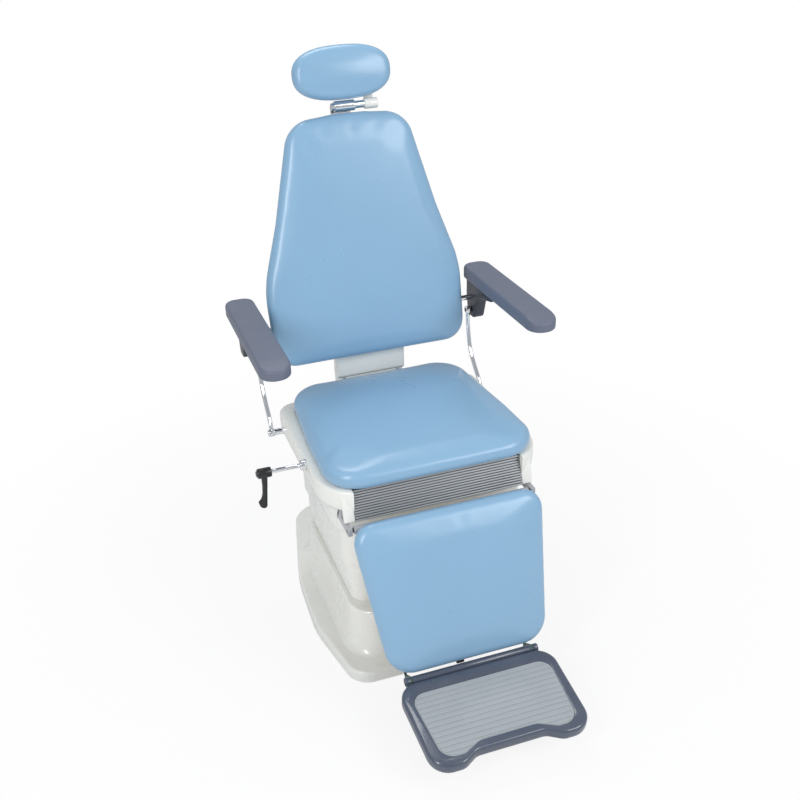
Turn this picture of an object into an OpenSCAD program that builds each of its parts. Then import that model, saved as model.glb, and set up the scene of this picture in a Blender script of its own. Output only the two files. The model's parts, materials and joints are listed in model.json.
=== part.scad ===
// Ear, nose and throat treatment chair, built as an assembly of separate pieces.
// X is to the right, Y is to the rear and Z is up. The origin is on the floor,
// on the axis that the seat turns about. The chair faces -Y and stands lowered.

/* [Base] */
// Thickness of the steel plate that stands on the floor
plate_t = 10; // [8:1:16]
// Height of the base cover above the floor
cover_h = 32; // [26:1:50]
// Half width of the base at its front corners
base_front_half_w = 238; // [200:1:245]
// Half width of the base where it is widest
base_mid_half_w = 279; // [255:1:300]
// Half width of the base behind its middle
base_back_half_w = 268; // [245:1:290]
// Half width of the base at its rear corners
base_rear_half_w = 194; // [160:1:230]
// Distance from the turning axis to the base's front edge
base_front = 314; // [295:1:360]
// Distance from the turning axis to the base's rear edge
base_rear = 425; // [380:1:480]
// Wall of the moulded covers
cover_wall = 4; // [3:0.5:6]
// Radius of the base's front corners
base_front_r = 55; // [30:1:80]
// Radius of the base's rear corners
base_rear_r = 90; // [50:1:120]

/* [Column] */
// Half width of the fixed shroud round the foot of the column
shroud_half_w = 212; // [209:1:216]
// Distance from the turning axis to the shroud's front
shroud_front = 250; // [230:1:262]
// Distance from the turning axis to the shroud's rear
shroud_rear = 240; // [230:1:300]
// Height of the shroud's rim
shroud_h = 150; // [140:1:190]
// Spread of the shroud where it meets the base
shroud_flare = 22; // [8:1:30]
// Half width of the upper skirt, which rises with the seat
skirt_half_w = 218; // [212:1:224]
// Height of the upper skirt's top with the chair lowered
skirt_top = 366; // [340:1:380]
// Height of the upper skirt's wall
upper_skirt_h = 98; // [80:1:110]
// Step from each skirt to the next one inside it
skirt_step = 9; // [7:0.5:11]
// Wall of the skirts
skirt_wall = 3; // [2:0.5:4]
// Radius of the upper skirt's corners
skirt_r = 60; // [40:1:80]
// Outer width of the fixed guide column
guide_w = 120; // [110:1:130]
// Wall of the guide column
guide_wall = 5; // [4:0.5:8]
// Outer width of the sliding column
inner_w = 100; // [90:1:104]
// Wall of the sliding column
inner_wall = 4; // [3:0.5:6]
// Height that the seat can rise
lift_travel = 200; // [120:5:200]

/* [Seat] */
// Width of the seat cushion at its front
seat_w = 518; // [500:1:522]
// Width of the seat cushion at its rear
seat_rear_w = 462; // [420:1:480]
// Depth of the seat cushion
seat_d = 480; // [440:1:500]
// Distance from the turning axis to the cushion's front edge
seat_front = 260; // [256:1:280]
// Height of the seat cushion's lower face
seat_z = 508; // [500:1:520]
// Thickness of the seat cushion at its edge
seat_t = 46; // [40:1:60]
// Rise of the seat cushion's crown above its edge
seat_crown = 9; // [4:1:16]
// Radius of the seat cushion's corners in plan
seat_r = 88; // [60:1:110]
// Thickness of the plywood boards under the cushions
board_t = 9; // [6:1:10]
// Half width of the seat housing at its rim
shell_half_w = 268; // [264:1:275]
// Distance from the turning axis to the rear of the housing's foot
shell_rear = 152; // [140:1:160]
// Distance from the turning axis to the rear of the housing's rim
rim_rear = 206; // [190:1:210]
// Half width of the opening that the ribbed panel fills
panel_half_w = 204; // [190:1:206]
// Number of ribs on the front panel
rib_count = 12; // [8:1:16]

/* [Backrest] */
// Lean of the backrest from upright
back_lean = 13.5; // [5:0.5:20]
// Distance behind the turning axis of the backrest's lower edge
back_y = 206; // [200:1:220]
// Height of the backrest's lower edge
back_z = 605; // [600:1:625]
// Length of the backrest
back_len = 604; // [560:1:604]
// Width of the backrest at its lower edge
back_low_w = 514; // [480:1:516]
// Width of the backrest at its widest
back_wide_w = 526; // [500:1:528]
// Width of the backrest at its shoulder
back_shoulder_w = 424; // [380:1:450]
// Width of the backrest at its top
back_top_w = 304; // [270:1:340]
// Thickness of the back cushion at its edge
back_t = 44; // [36:1:50]
// Rise of the back cushion's crown above its edge
back_crown = 10; // [4:1:16]
// Depth of the rigid shell behind the back cushion
back_shell_d = 46; // [40:1:60]

/* [Headrest] */
// Width of the headrest
head_w = 250; // [220:1:280]
// Height of the headrest
head_h = 131; // [120:1:133]
// Thickness of the head cushion at its edge
head_t = 44; // [36:1:54]
// Rise of the head cushion's crown above its edge
head_crown = 10; // [4:1:14]
// Travel of the head post
head_travel = 120; // [60:5:130]

/* [Arms] */
// Distance from the middle of the chair to the middle of an arm pad
arm_x = 321; // [316:1:330]
// Width of an arm pad
arm_w = 73; // [66:1:82]
// Length of an arm pad
arm_len = 421; // [400:1:460]
// Distance behind the turning axis of an arm pad's rear end
arm_rear = 300; // [290:1:310]
// Height of an arm pad's top
arm_top = 777; // [770:1:800]
// Thickness of an arm pad
arm_t = 35; // [30:1:42]

/* [Leg and foot] */
// Lean of the leg rest from upright
leg_lean = 22.6; // [18:0.2:26]
// Distance in front of the turning axis of the leg rest's upper edge
leg_y = 294; // [290:1:300]
// Height of the leg rest's upper edge
leg_z = 454; // [445:1:456]
// Length of the leg rest
leg_len = 364; // [330:1:366]
// Width of the leg rest at its upper edge
leg_top_w = 470; // [440:1:490]
// Width of the leg rest at its lower edge
leg_low_w = 385; // [340:1:420]
// Thickness of the leg cushion at its edge
leg_t = 42; // [36:1:46]
// Rise of the leg cushion's crown above its edge
leg_crown = 9; // [4:1:12]
// Width of the foot tray at its rear
foot_w = 377; // [340:1:400]
// Width of the foot tray at its front
foot_front_w = 368; // [320:1:380]
// Depth of the foot tray
foot_d = 225; // [200:1:260]
// Thickness of the foot tray's frame
foot_t = 32; // [24:1:36]
// Slope of the foot tray, down towards the front
foot_slope = 7.3; // [0:0.1:10]
// Number of ribs on the foot mat
mat_ribs = 13; // [8:1:24]

/* [Hidden] */
$fn = 48;

// Steps in a rounded corner of a moulding
corner_steps = 7;
// Overrun of a cut past the face that it leaves
over = 1;
// Radial clearance of a turning or sliding fit
fit = 0.05;
// Gap between two pieces that only face each other
gap = 0.3;
// Smallest radius left on an inset corner
least_r = 1;

function unit(v) = v / norm(v);
function turn_at(a, v, b) = atan2(cross(v - a, b - v), (v - a) * (b - v));
function left_of(e) = [-e.y, e.x];
function corner_arc(a, v, b, r, n) =
  let (t = turn_at(a, v, b), e = unit(v - a), start = v - e * r * tan(abs(t) / 2),
       c = start + sign(t) * r * left_of(e), from = atan2(start.y - c.y, start.x - c.x))
  [for (k = [0 : n]) c + r * [cos(from + t * k / n), sin(from + t * k / n)]];
// Points of a polygon whose corners are rounded, walked anticlockwise
function rounded(p, r, n = corner_steps) = let (m = len(p))
  [for (i = [0 : m - 1]) each corner_arc(p[(i + m - 1) % m], p[i], p[(i + 1) % m], r[i], n)];
function moved_in(p, d) = let (m = len(p))
  [for (i = [0 : m - 1])
    let (n0 = left_of(unit(p[i] - p[(i + m - 1) % m])), n1 = left_of(unit(p[(i + 1) % m] - p[i])))
    p[i] + d * (n0 + n1) / (1 + n0 * n1)];
// The same outline moved in by d, or out where d is negative
function outline(p, r, d = 0, n = corner_steps) = let (m = len(p))
  rounded(moved_in(p, d), [for (i = [0 : m - 1])
    max(least_r, r[i] - d * sign(turn_at(p[(i + m - 1) % m], p[i], p[(i + 1) % m])))], n);
function mirrored(half) = concat(half, [for (i = [len(half) - 1 : -1 : 0]) [-half[i].x, half[i].y]]);
function twice(r) = concat(r, [for (i = [len(r) - 1 : -1 : 0]) r[i]]);
function at_height(o, z) = [for (q = o) [q.x, q.y, z]];
function drawn_to(o, c, s) = [for (q = o) c + s * (q - c)];
function box_pts(w, front, rear) = [[w, -front], [w, rear], [-w, rear], [-w, -front]];
function oval(w, h, power, n) = [for (k = [0 : n - 1]) let (a = 360 * k / n)
  [w / 2 * sign(cos(a)) * pow(abs(cos(a)), 2 / power),
   h / 2 * sign(sin(a)) * pow(abs(sin(a)), 2 / power)]];

// Solid skin through rings of equal count, each above the last; a loop joins last to first
module skin(rings, loop = false) {
  m = len(rings[0]);
  k = len(rings);
  passes = loop ? k : k - 1;
  sides = [for (j = [0 : passes - 1]) for (i = [0 : m - 1])
    let (a = j * m + i, b = j * m + (i + 1) % m,
         c = ((j + 1) % k) * m + (i + 1) % m, d = ((j + 1) % k) * m + i)
    each [[a, c, b], [a, d, c]]];
  caps = loop ? [] : [[for (i = [0 : m - 1]) i], [for (i = [m - 1 : -1 : 0]) (k - 1) * m + i]];
  polyhedron(points = [for (r = rings) each r], faces = concat(sides, caps));
}

// Rings of a cushion, from its flat back, round its drawn-in side and over its crown
edge_steps = 5;
crown_shares = [0.86, 0.66, 0.4, 0.12];
function side_ring(shape, t, tuck, round, a) =
  at_height(shape(a < 0 ? tuck * pow(sin(-a), 2) : round * (1 - cos(a))),
    a < 0 ? t / 2 * (1 - sin(-a)) : t / 2 * (1 + sin(a)));
function cushion_rings(shape, t, crown, tuck, round, c) =
  let (top = shape(round))
  concat([for (k = [-edge_steps : edge_steps]) side_ring(shape, t, tuck, round, 90 * k / edge_steps)],
    [for (s = crown_shares) at_height(drawn_to(top, c, s), t + crown * (1 - s * s))]);

// A shallow tray that opens towards -Z: its roof, its wall and a rounded outer edge
function tray_rings(shape, d, wall, round) = concat(
  [at_height(shape(wall + round), d - wall), at_height(shape(wall), d - wall - round),
   at_height(shape(wall), 0), at_height(shape(0), 0)],
  [for (k = [0 : edge_steps]) let (a = 90 * k / edge_steps)
    at_height(shape(round * (1 - cos(a))), d - round + round * sin(a))]);

module rod_x(r, x0, x1, y, z) {
  translate([x0, y, z]) rotate([0, 90, 0]) cylinder(r = r, h = x1 - x0);
}
module box_at(x0, x1, y0, y1, z0, z1) {
  translate([x0, y0, z0]) cube([x1 - x0, y1 - y0, z1 - z0]);
}
module square_tube(w, wall, z0, z1) {
  difference() {
    box_at(-w / 2, w / 2, -w / 2, w / 2, z0, z1);
    box_at(-w / 2 + wall, w / 2 - wall, -w / 2 + wall, w / 2 - wall, z0 - over, z1 + over);
  }
}

// Outline of the base, and of the shroud and skirts that stand on it
base_side_y = 100;
base_back_y = 110;
base_pts = mirrored([[base_front_half_w, -base_front], [base_mid_half_w, -base_side_y],
  [base_back_half_w, base_back_y], [base_rear_half_w, base_rear]]);
base_side_r = 300;
base_back_r = 500;
base_rs = twice([base_front_r, base_side_r, base_back_r, base_rear_r]);
function base_shape(d) = outline(base_pts, base_rs, d);
cover_lift = 1.5;
cover_edge = 7;
cover_plate_gap = 1;
shroud_pts = box_pts(shroud_half_w, shroud_front, shroud_rear);
shroud_rs = [skirt_r, skirt_r, skirt_r, skirt_r];
function shroud_shape(d) = outline(shroud_pts, shroud_rs, d);
function skirt_shape(step, d) = let (w = skirt_half_w - step * skirt_step, r = skirt_r - step * skirt_step)
  outline(box_pts(w, w, w), [r, r, r, r], d);
wiper_h = 8;
wiper_gap = 0.5;
// Shares of the spread and of the height along the shroud's flare
flare_shares = [[1, 0], [0.62, 0.06], [0.34, 0.18], [0.14, 0.42], [0.04, 0.74], [0, 0.94]];
rim_edge = 5;
lower_skirt_foot = 60;
lower_skirt_top = 344;
middle_skirt_foot = 207;
middle_skirt_top = 358;
upper_skirt_foot = skirt_top - upper_skirt_h;

// Lift column
plate_inset = cover_wall + cover_plate_gap;
flange_w = 170;
flange_t = 12;
guide_top = 300;
pad_h = 50;
pad_t = (guide_w - 2 * guide_wall - inner_w) / 2;
bolt_head_r = 9;
bolt_head_h = 6;
bolt_in = 14;
bolt_x = flange_w / 2 - bolt_in;
inner_foot = 30;
top_plate_w = 200;
top_plate_t = 12;
top_plate_drop = 21;
top_plate_z = skirt_top - top_plate_drop;
bearing_r = 90;
bearing_mid_r = 70;
bearing_bore_r = 40;
bearing_h = 14;
swivel_z = top_plate_z + top_plate_t;
hub_z = swivel_z + bearing_h + 1;
skirt_hole_r = bearing_r + 10;
brace_half_w = 84;
brace_len = 380;
actuator_r = 30;
actuator_top = 290;
actuator_bore_r = 16;
rod_foot = 50;
eye_z = 318;
pin_r = 6;

// Seat cushion, board and frame
seat_mid = seat_d / 2 - seat_front;
seat_draw = 5;
seat_draw_y = 60;
seat_draw_r = 900;
seat_round = 31;
cushion_tuck = 14;
cushion_round = 24;
seat_pts = mirrored([[seat_w / 2, -seat_front], [seat_w / 2 - seat_draw, -seat_draw_y],
  [seat_rear_w / 2, seat_d - seat_front]]);
seat_rs = twice([seat_r, seat_draw_r, seat_r]);
function seat_shape(d) = outline(seat_pts, seat_rs, d);
board_inset = 40;
board_z = seat_z - board_t;
rail_h = 30;
rail_w = 36;
rail_x = 90;
rail_z = board_z - rail_h;
rail_front = 225;
rail_rear = 135;
hub_w = 220;
hub_t = 10;
cross_w = 25;
cross_half_w = 228;
lug_t = 10;
eye_r = 10.5;
hinge_pin_r = 5;
hinge_tube_r = 9;

// Back hinge, and the parallel linkage that keeps the arms level
back_hinge = [168, board_z - eye_r - gap];
link_drop = 36;
link_pivot = back_hinge - [0, link_drop];
arm_pin_s = 98;
arm_pin_r = 7;
back_foam_t = 20;
board_rear_t = -back_foam_t - board_t;
arm_pin_t = board_rear_t - arm_pin_r - gap;
function back_yz(s, t) = [back_y + s * sin(back_lean) - t * cos(back_lean),
  back_z + s * cos(back_lean) + t * sin(back_lean)];
arm_pivot = back_yz(arm_pin_s, arm_pin_t);
link_top = arm_pivot - [0, link_drop];
upright_x = 70;
upright_t = 8;
lug_gap = 2;
lug_x = upright_x + upright_t + lug_gap;

// Seat housing, from its foot to its rim: height, half width, front and rear distance
housing_foot = hub_z + lug_gap;
housing_wall = 3.5;
housing_front_r = 90;
housing_rear_r = 42;
shell_top = seat_z - gap;
flange_in = 34;
band_z = 452;
band_edge = 6;
foot_in = 30;
waist_in = 26;
neck_in = 17;
band_in = 4;
post_front = 250;
post_w = 26;
post_d = 9;
screw_in = 14;
foot_back = 12;
foot_front = post_front - foot_back;
band_front = seat_front + 1;
band_rear = rim_rear - band_in;
housing_levels = [[housing_foot, shell_half_w - foot_in, foot_front, shell_rear],
  [(housing_foot + band_z) / 2, shell_half_w - waist_in, (foot_front + post_front) / 2, shell_rear + over],
  [band_z - band_edge, shell_half_w - neck_in, post_front, (shell_rear + rim_rear) / 2],
  [band_z, shell_half_w - 2 * band_in, band_front - 2 * band_in, band_rear - band_in],
  [band_z + band_edge, shell_half_w - band_in / 2, band_front - band_in / 2, band_rear],
  [shell_top - band_edge, shell_half_w, band_front, rim_rear],
  [shell_top, shell_half_w - band_in, band_front - band_in, band_rear]];
function housing_ring(level, d) = at_height(outline(box_pts(level[1], level[2], level[3]),
  [housing_front_r, housing_rear_r, housing_rear_r, housing_front_r], d), level[0]);
// The ribbed panel leans back from its foot, which stands behind the leg cushion
panel_lean = 18;
panel_z = 433.5;
panel_y = 257.5;
panel_h = 74;
panel_t = 3;
rib_r = 2.9;
rear_cut_half_w = 100;
rear_cut_z = 400;
lug_cut = 3;

// Backrest outline, in its own leaning plane
shoulder_s = 362;
wide_s = 205;
back_top_rise = 10;
back_top_corner_s = back_len - back_top_rise;
back_pts = concat(mirrored([[back_low_w / 2, 0], [back_wide_w / 2, wide_s],
  [back_shoulder_w / 2, shoulder_s], [back_top_w / 2, back_top_corner_s], [back_top_w / 8, back_len]]));
back_low_r = 58;
back_side_r = 240;
back_shoulder_r = 320;
back_top_r = 72;
back_crest_r = 200;
back_rs = twice([back_low_r, back_side_r, back_shoulder_r, back_top_r, back_crest_r]);
function back_shape(d) = outline(back_pts, back_rs, d);
back_mid_share = 0.42;
shell_wall = 4;
shell_round = 24;
shell_gap = 3;
shell_in = 14;
post_w_half = 25;
post_t = 8;
post_drop = 14;
post_back_t = board_rear_t - post_drop;
post_foot_s = 395;
post_top_s = 622;
guide_s = 490;
guide_len = 80;
head_pin_s = 617.5;
head_pin_t = -12;
head_tube_r = 9;
head_eye_r = 13;
head_s = 694.5;
head_power = 2.5;
head_shell_power = 3;
head_shell_in_w = 48;
head_shell_in_h = 31;
head_shell_up = 9;
head_shell_w = head_w - head_shell_in_w;
head_shell_h = head_h - head_shell_in_h;
head_shell_s = head_s + head_shell_up;
head_shell_d = 34;
head_steps = 40;
lock_x = 51;
lock_len = 34;
lock_r = 12.5;

// Leg rest, in its own leaning plane
function leg_yz(s, t) = [-leg_y + s * sin(leg_lean) - t * cos(leg_lean),
  leg_z + s * cos(leg_lean) + t * sin(leg_lean)];
leg_pts = mirrored([[leg_low_w / 2, -leg_len], [leg_top_w / 2, 0]]);
leg_low_r = 66;
leg_top_r = 50;
leg_rs = twice([leg_low_r, leg_top_r]);
function leg_shape(d) = outline(leg_pts, leg_rs, d);
leg_foam_t = 20;
leg_back_t = -leg_foam_t;
leg_board_t = leg_back_t - board_t;
leg_pin_s = -20;
leg_pin_drop = 7;
leg_pin_t = leg_board_t - leg_pin_drop;
leg_pivot = leg_yz(leg_pin_s, leg_pin_t);
leg_tube_half = 213;
leg_bar_x = 151;
leg_bar_w = 19;
leg_bar_t = 8;
leg_bar_in = 14;
leg_bar_foot = leg_bar_in - leg_len;
leg_board_in = 20;
foot_pin_drop = 12;
foot_pin_s = -(leg_len + foot_pin_drop);
foot_pin_t = 6;
foot_pivot = leg_yz(foot_pin_s, foot_pin_t);
foot_pin_r = 4;
foot_eye_r = 9;
bracket_t = 5;
tray_rear = 9;
tray_top = 7;
tray_front = tray_rear + foot_d;
notch_d = 20;
notch_half_w = 80;
notch_slope_w = 34;
tray_pts = mirrored([[notch_half_w, notch_d - tray_front], [notch_half_w + notch_slope_w, -tray_front],
  [foot_front_w / 2, -tray_front], [foot_w / 2, -tray_rear]]);
notch_r = 30;
tray_front_r = 46;
tray_rear_r = 45;
tray_rs = twice([notch_r, notch_r, tray_front_r, tray_rear_r]);
rim_w = 20;
rear_rim_w = 34;
mat_deep = 4;
mat_narrow = 8;
mat_pts = [for (q = moved_in(tray_pts, rim_w)) q.y > -tray_front / 2 ? q - [0, rear_rim_w - rim_w]
  : q - [sign(q.x) * mat_narrow, 0]];
mat_notch_r = 38;
mat_lobe_r = 12;
mat_front_r = 32;
mat_rear_r = 28;
mat_rs = twice([mat_notch_r, mat_lobe_r, mat_front_r, mat_rear_r]);
function tray_shape(d) = outline(tray_pts, tray_rs, d);
function mat_shape(d) = outline(mat_pts, mat_rs, d);

// Arm pads and brackets
arm_crown = 4;
pad_z = arm_top - arm_t;
arm_bracket_in = 21;
arm_bracket_x = arm_x - arm_bracket_in;
arm_bracket_w = 30;
link_x = 285;
link_w = 12;
link_r = 6;
link_eye_r = 10;

module in_back() {
  translate([0, back_y, back_z]) rotate([90 - back_lean, 0, 0]) children();
}
module in_leg() {
  translate([0, -leg_y, leg_z]) rotate([90 - leg_lean, 0, 0]) children();
}
module in_foot() {
  translate([0, foot_pivot.x, foot_pivot.y]) rotate([foot_slope, 0, 0]) children();
}
// A plate drawn in the YZ plane, with its thickness along X
module plate_yz(x0, x1, points) {
  translate([x0, 0, 0]) rotate([90, 0, 90]) linear_extrude(x1 - x0) polygon(points);
}
// Outline of a flat bar of width w that follows a path in the YZ plane
function bar_side(path, w) = let (last = len(path) - 1) [for (k = [0 : last])
  let (n = left_of(unit(path[min(k + 1, last)] - path[max(k - 1, 0)]))) path[k] + n * w / 2];
function bar_outline(path, w) = let (side = bar_side(path, -w))
  concat(side, [for (q = [len(path) - 1 : -1 : 0]) bar_side(path, w)[q]]);
module floor_plate() {
  color("dimgray") linear_extrude(plate_t) polygon(base_shape(plate_inset));
}
module base_cover() {
  color("ivory") difference() {
    translate([0, 0, cover_lift])
      skin(tray_rings(function (d) base_shape(d), cover_h - cover_lift, cover_wall, cover_edge));
    box_at(-flange_w / 2 - gap, flange_w / 2 + gap, -flange_w / 2 - gap, flange_w / 2 + gap,
      plate_t, cover_h + over);
  }
}
module column_shroud() {
  rise = shroud_h - cover_h;
  outer = [for (f = flare_shares) at_height(shroud_shape(-shroud_flare * f[0]), cover_h + rise * f[1])];
  rim = [at_height(shroud_shape(rim_edge), shroud_h), at_height(skirt_shape(2, -wiper_gap), shroud_h),
    at_height(skirt_shape(2, -wiper_gap), shroud_h - wiper_h),
    at_height(shroud_shape(rim_edge + cover_wall), shroud_h - wiper_h)];
  inner = [for (k = [len(flare_shares) - 2 : -1 : 0])
    at_height(shroud_shape(cover_wall - shroud_flare * flare_shares[k][0]),
      cover_h + rise * flare_shares[k][1])];
  color("ivory") skin(concat(outer, rim, inner), loop = true);
}
module guide_column() {
  color("gray") difference() {
    union() {
      box_at(-flange_w / 2, flange_w / 2, -flange_w / 2, flange_w / 2, plate_t, plate_t + flange_t);
      box_at(-guide_w / 2, guide_w / 2, -guide_w / 2, guide_w / 2, plate_t, guide_top);
    }
    box_at(guide_wall - guide_w / 2, guide_w / 2 - guide_wall, guide_wall - guide_w / 2,
      guide_w / 2 - guide_wall, plate_t - over, guide_top + over);
  }
}
module guide_bolts() {
  color("silver") for (x = [-bolt_x, bolt_x]) for (y = [-bolt_x, bolt_x])
    translate([x, y, plate_t + flange_t]) cylinder(r = bolt_head_r, h = bolt_head_h, $fn = 6);
}
module guide_pads() {
  half = guide_w / 2 - guide_wall;
  color("white") for (a = [0 : 90 : 270]) rotate([0, 0, a])
    box_at(-inner_w / 3, inner_w / 3, half - pad_t + fit, half, guide_top - pad_h, guide_top);
}
module lift_actuator() {
  color("black") translate([0, 0, plate_t]) difference() {
    cylinder(r = actuator_r, h = actuator_top - plate_t);
    translate([0, 0, inner_foot]) cylinder(r = actuator_bore_r + fit, h = actuator_top);
  }
}
module inner_column() {
  color("silver") difference() {
    square_tube(inner_w, inner_wall, inner_foot, top_plate_z);
    rod_x(pin_r + fit, -inner_w, inner_w, 0, eye_z);
  }
}
module lift_rod() {
  color("silver") difference() {
    translate([0, 0, rod_foot]) cylinder(r = actuator_bore_r, h = eye_z + pin_r * 2 - rod_foot);
    rod_x(pin_r + fit, -inner_w, inner_w, 0, eye_z);
  }
}
module lift_pin() {
  color("dimgray") rod_x(pin_r, -inner_w / 2 - pin_r / 2, inner_w / 2 + pin_r / 2, 0, eye_z);
}
module top_plate() {
  color("gray") box_at(-top_plate_w / 2, top_plate_w / 2, -top_plate_w / 2, top_plate_w / 2,
    top_plate_z, swivel_z);
}
module bearing_outer_ring() {
  color("silver") translate([0, 0, swivel_z]) difference() {
    cylinder(r = bearing_r, h = bearing_h);
    translate([0, 0, -over]) cylinder(r = bearing_mid_r + fit, h = bearing_h + 2 * over);
  }
}
module bearing_inner_ring() {
  color("silver") translate([0, 0, swivel_z + gap]) difference() {
    cylinder(r = bearing_mid_r, h = hub_z - swivel_z - gap);
    translate([0, 0, -over]) cylinder(r = bearing_bore_r, h = bearing_h + 3 * over);
  }
}
module skirt_wall(step, foot, top) {
  translate([0, 0, foot]) linear_extrude(top - foot) difference() {
    polygon(skirt_shape(step, 0));
    polygon(skirt_shape(step, skirt_wall));
  }
}
// The wiper at a skirt's top runs inside the skirt round it
module wiper(step, top) {
  translate([0, 0, top - wiper_h]) linear_extrude(wiper_h) difference() {
    polygon(skirt_shape(step - 1, skirt_wall + wiper_gap));
    polygon(skirt_shape(step, skirt_wall / 2));
  }
}
module upper_skirt() {
  color("ivory") {
    skirt_wall(0, upper_skirt_foot, skirt_top);
    difference() {
      translate([0, 0, skirt_top - skirt_wall]) linear_extrude(skirt_wall)
        polygon(skirt_shape(0, skirt_wall / 2));
      cylinder(r = skirt_hole_r, h = skirt_top + over);
    }
    difference() {
      box_at(-brace_half_w, brace_half_w, -brace_len / 2, brace_len / 2, swivel_z,
        skirt_top - skirt_wall / 2);
      cylinder(r = skirt_hole_r, h = skirt_top + over);
    }
  }
}
module middle_skirt() {
  color("ivory") {
    skirt_wall(1, middle_skirt_foot, middle_skirt_top);
    wiper(1, middle_skirt_top);
  }
}
module lower_skirt() {
  color("ivory") {
    skirt_wall(2, lower_skirt_foot, lower_skirt_top);
    wiper(2, lower_skirt_top);
  }
}
module seat_frame() {
  rear_y = rail_rear;
  color("gray") difference() {
    union() {
      box_at(-hub_w / 2, hub_w / 2, -hub_w / 2, hub_w / 2, hub_z, hub_z + hub_t);
      for (x = [-rail_x, rail_x]) {
        box_at(x - rail_w / 2, x + rail_w / 2, -rail_front, rear_y, rail_z, board_z);
        for (y = [-rail_x, rail_x])
          box_at(x - rail_w / 2, x + rail_w / 2, y - rail_w / 2, y + rail_w / 2, hub_z, board_z);
      }
      for (y = [cross_w - rail_front, rear_y])
        box_at(-cross_half_w, cross_half_w, y - cross_w, y, rail_z, board_z);
      for (x = [-1, 1]) {
        front_x = x > 0 ? cross_half_w - lug_t : -cross_half_w;
        box_at(front_x, front_x + lug_t, leg_pivot.x - hinge_tube_r, cross_w - rail_front,
          leg_pivot.y - hinge_tube_r, leg_pivot.y + hinge_tube_r);
        box_at(front_x, front_x + lug_t, -rail_front, cross_w - rail_front,
          leg_pivot.y - hinge_tube_r, board_z);
        rear_x = x > 0 ? lug_x : -lug_x - lug_t;
        box_at(rear_x, rear_x + lug_t, rear_y - cross_w, back_hinge.x, back_hinge.y - eye_r,
          back_hinge.y + eye_r);
        rod_x(eye_r, rear_x, rear_x + lug_t, back_hinge.x, back_hinge.y);
      }
    }
    translate([0, 0, hub_z - over]) cylinder(r = bearing_bore_r, h = hub_t + 2 * over);
    box_at(-crank_x - lug_gap, crank_x + lug_gap, rear_y - cross_w - over, rear_y + over, rail_z - over,
      board_z - hinge_tube_r);
    rod_x(hinge_pin_r + fit, -cross_half_w - over, cross_half_w + over, back_hinge.x, back_hinge.y);
    rod_x(hinge_pin_r + fit, -cross_half_w - over, cross_half_w + over, leg_pivot.x, leg_pivot.y);
  }
}
module back_hinge_pin() {
  color("silver") rod_x(hinge_pin_r, -lug_x - lug_t, lug_x + lug_t, back_hinge.x, back_hinge.y);
}
module seat_board() {
  color("tan") translate([0, 0, board_z]) linear_extrude(board_t) polygon(seat_shape(board_inset));
}
module seat_cushion() {
  color("skyblue") translate([0, 0, seat_z]) skin(cushion_rings(function (d) seat_shape(d),
    seat_t, seat_crown, cushion_tuck, seat_round, [0, seat_mid]));
}
module in_panel() {
  translate([0, -panel_y, panel_z]) rotate([-panel_lean, 0, 0]) children();
}
module seat_housing() {
  last = len(housing_levels) - 1;
  rim = housing_levels[last];
  rings = concat([for (level = housing_levels) housing_ring(level, 0)], [housing_ring(rim, flange_in)],
    [for (d = [flange_in, housing_wall])
      housing_ring([rim[0] - housing_wall, rim[1], rim[2], rim[3]], d)],
    [for (k = [last - 1 : -1 : 0]) housing_ring(housing_levels[k], housing_wall)]);
  post_x = panel_half_w + post_w;
  color("ivory") difference() {
    union() {
      skin(rings, loop = true);
      in_panel() for (x = [-post_x, panel_half_w]) box_at(x, x + post_w, -rib_r, post_d, 0, panel_h);
    }
    box_at(-panel_half_w, panel_half_w, -band_front - over, -skirt_half_w, panel_z - rib_r, seat_z);
    for (x = [-cross_half_w - lug_cut, cross_half_w - lug_t - lug_cut]) {
      box_at(x, x + lug_t + 2 * lug_cut, -band_front, cross_w - rail_front + lug_cut,
        leg_pivot.y - hinge_tube_r - lug_cut, leg_pivot.y + hinge_tube_r + lug_cut);
      box_at(x, x + lug_t + 2 * lug_cut, -rail_front - lug_cut, cross_w - rail_front + lug_cut,
        leg_pivot.y, band_z + lug_cut);
    }
    translate([0, 0, board_z - gap]) linear_extrude(seat_z) polygon(seat_shape(board_inset - gap));
    box_at(-rear_cut_half_w, rear_cut_half_w, shell_rear - housing_rear_r, rim_rear + over,
      rear_cut_z, shell_top + over);
    rod_x(lever_r + gap, -shell_half_w - over, -seat_w / 4 - seat_rear_w / 4, lever_y, lever_z);
    rod_x(lever_hub_r + gap, -shell_half_w - over, band_in - shell_half_w, lever_y, lever_z);
    rod_x(hinge_tube_r - over + gap, -shell_half_w - over, shell_half_w + over, link_pivot.x, link_pivot.y);
  }
}
module ribbed_panel() {
  pitch = panel_h / rib_count;
  color("lightslategray") in_panel() {
    box_at(-panel_half_w, panel_half_w, 0, panel_t, 0, panel_h);
    for (k = [0 : rib_count - 1])
      rod_x(rib_r, -panel_half_w, panel_half_w, 0, pitch * (k + half_share));
  }
}
module panel_screws() {
  color("silver") in_panel() for (x = [-panel_half_w + screw_in / 2, panel_half_w - screw_in / 2])
    for (z = [screw_in, panel_h - screw_in])
      translate([x, panel_t, z]) rotate([-90, 0, 0]) cylinder(r = screw_r, h = screw_h);
}
half_share = 0.5;
screw_r = 4;
screw_h = 3;
lever_r = 5;
lever_y = -78;
lever_below = 13;
lever_z = seat_z - lever_below;
lever_boss_x = 280;
lever_hub_x = 348;
lever_hub_len = 34;
lever_hub_r = 12;
lever_drop = 96;
lever_tip_r = 6.5;
lever_root_r = 8.5;
lever_lip_r = 5.2;
lever_lip_len = 15.6;
lever_lip_turn = 60;
button_r = 7.2;
ball_steps = 24;
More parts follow.
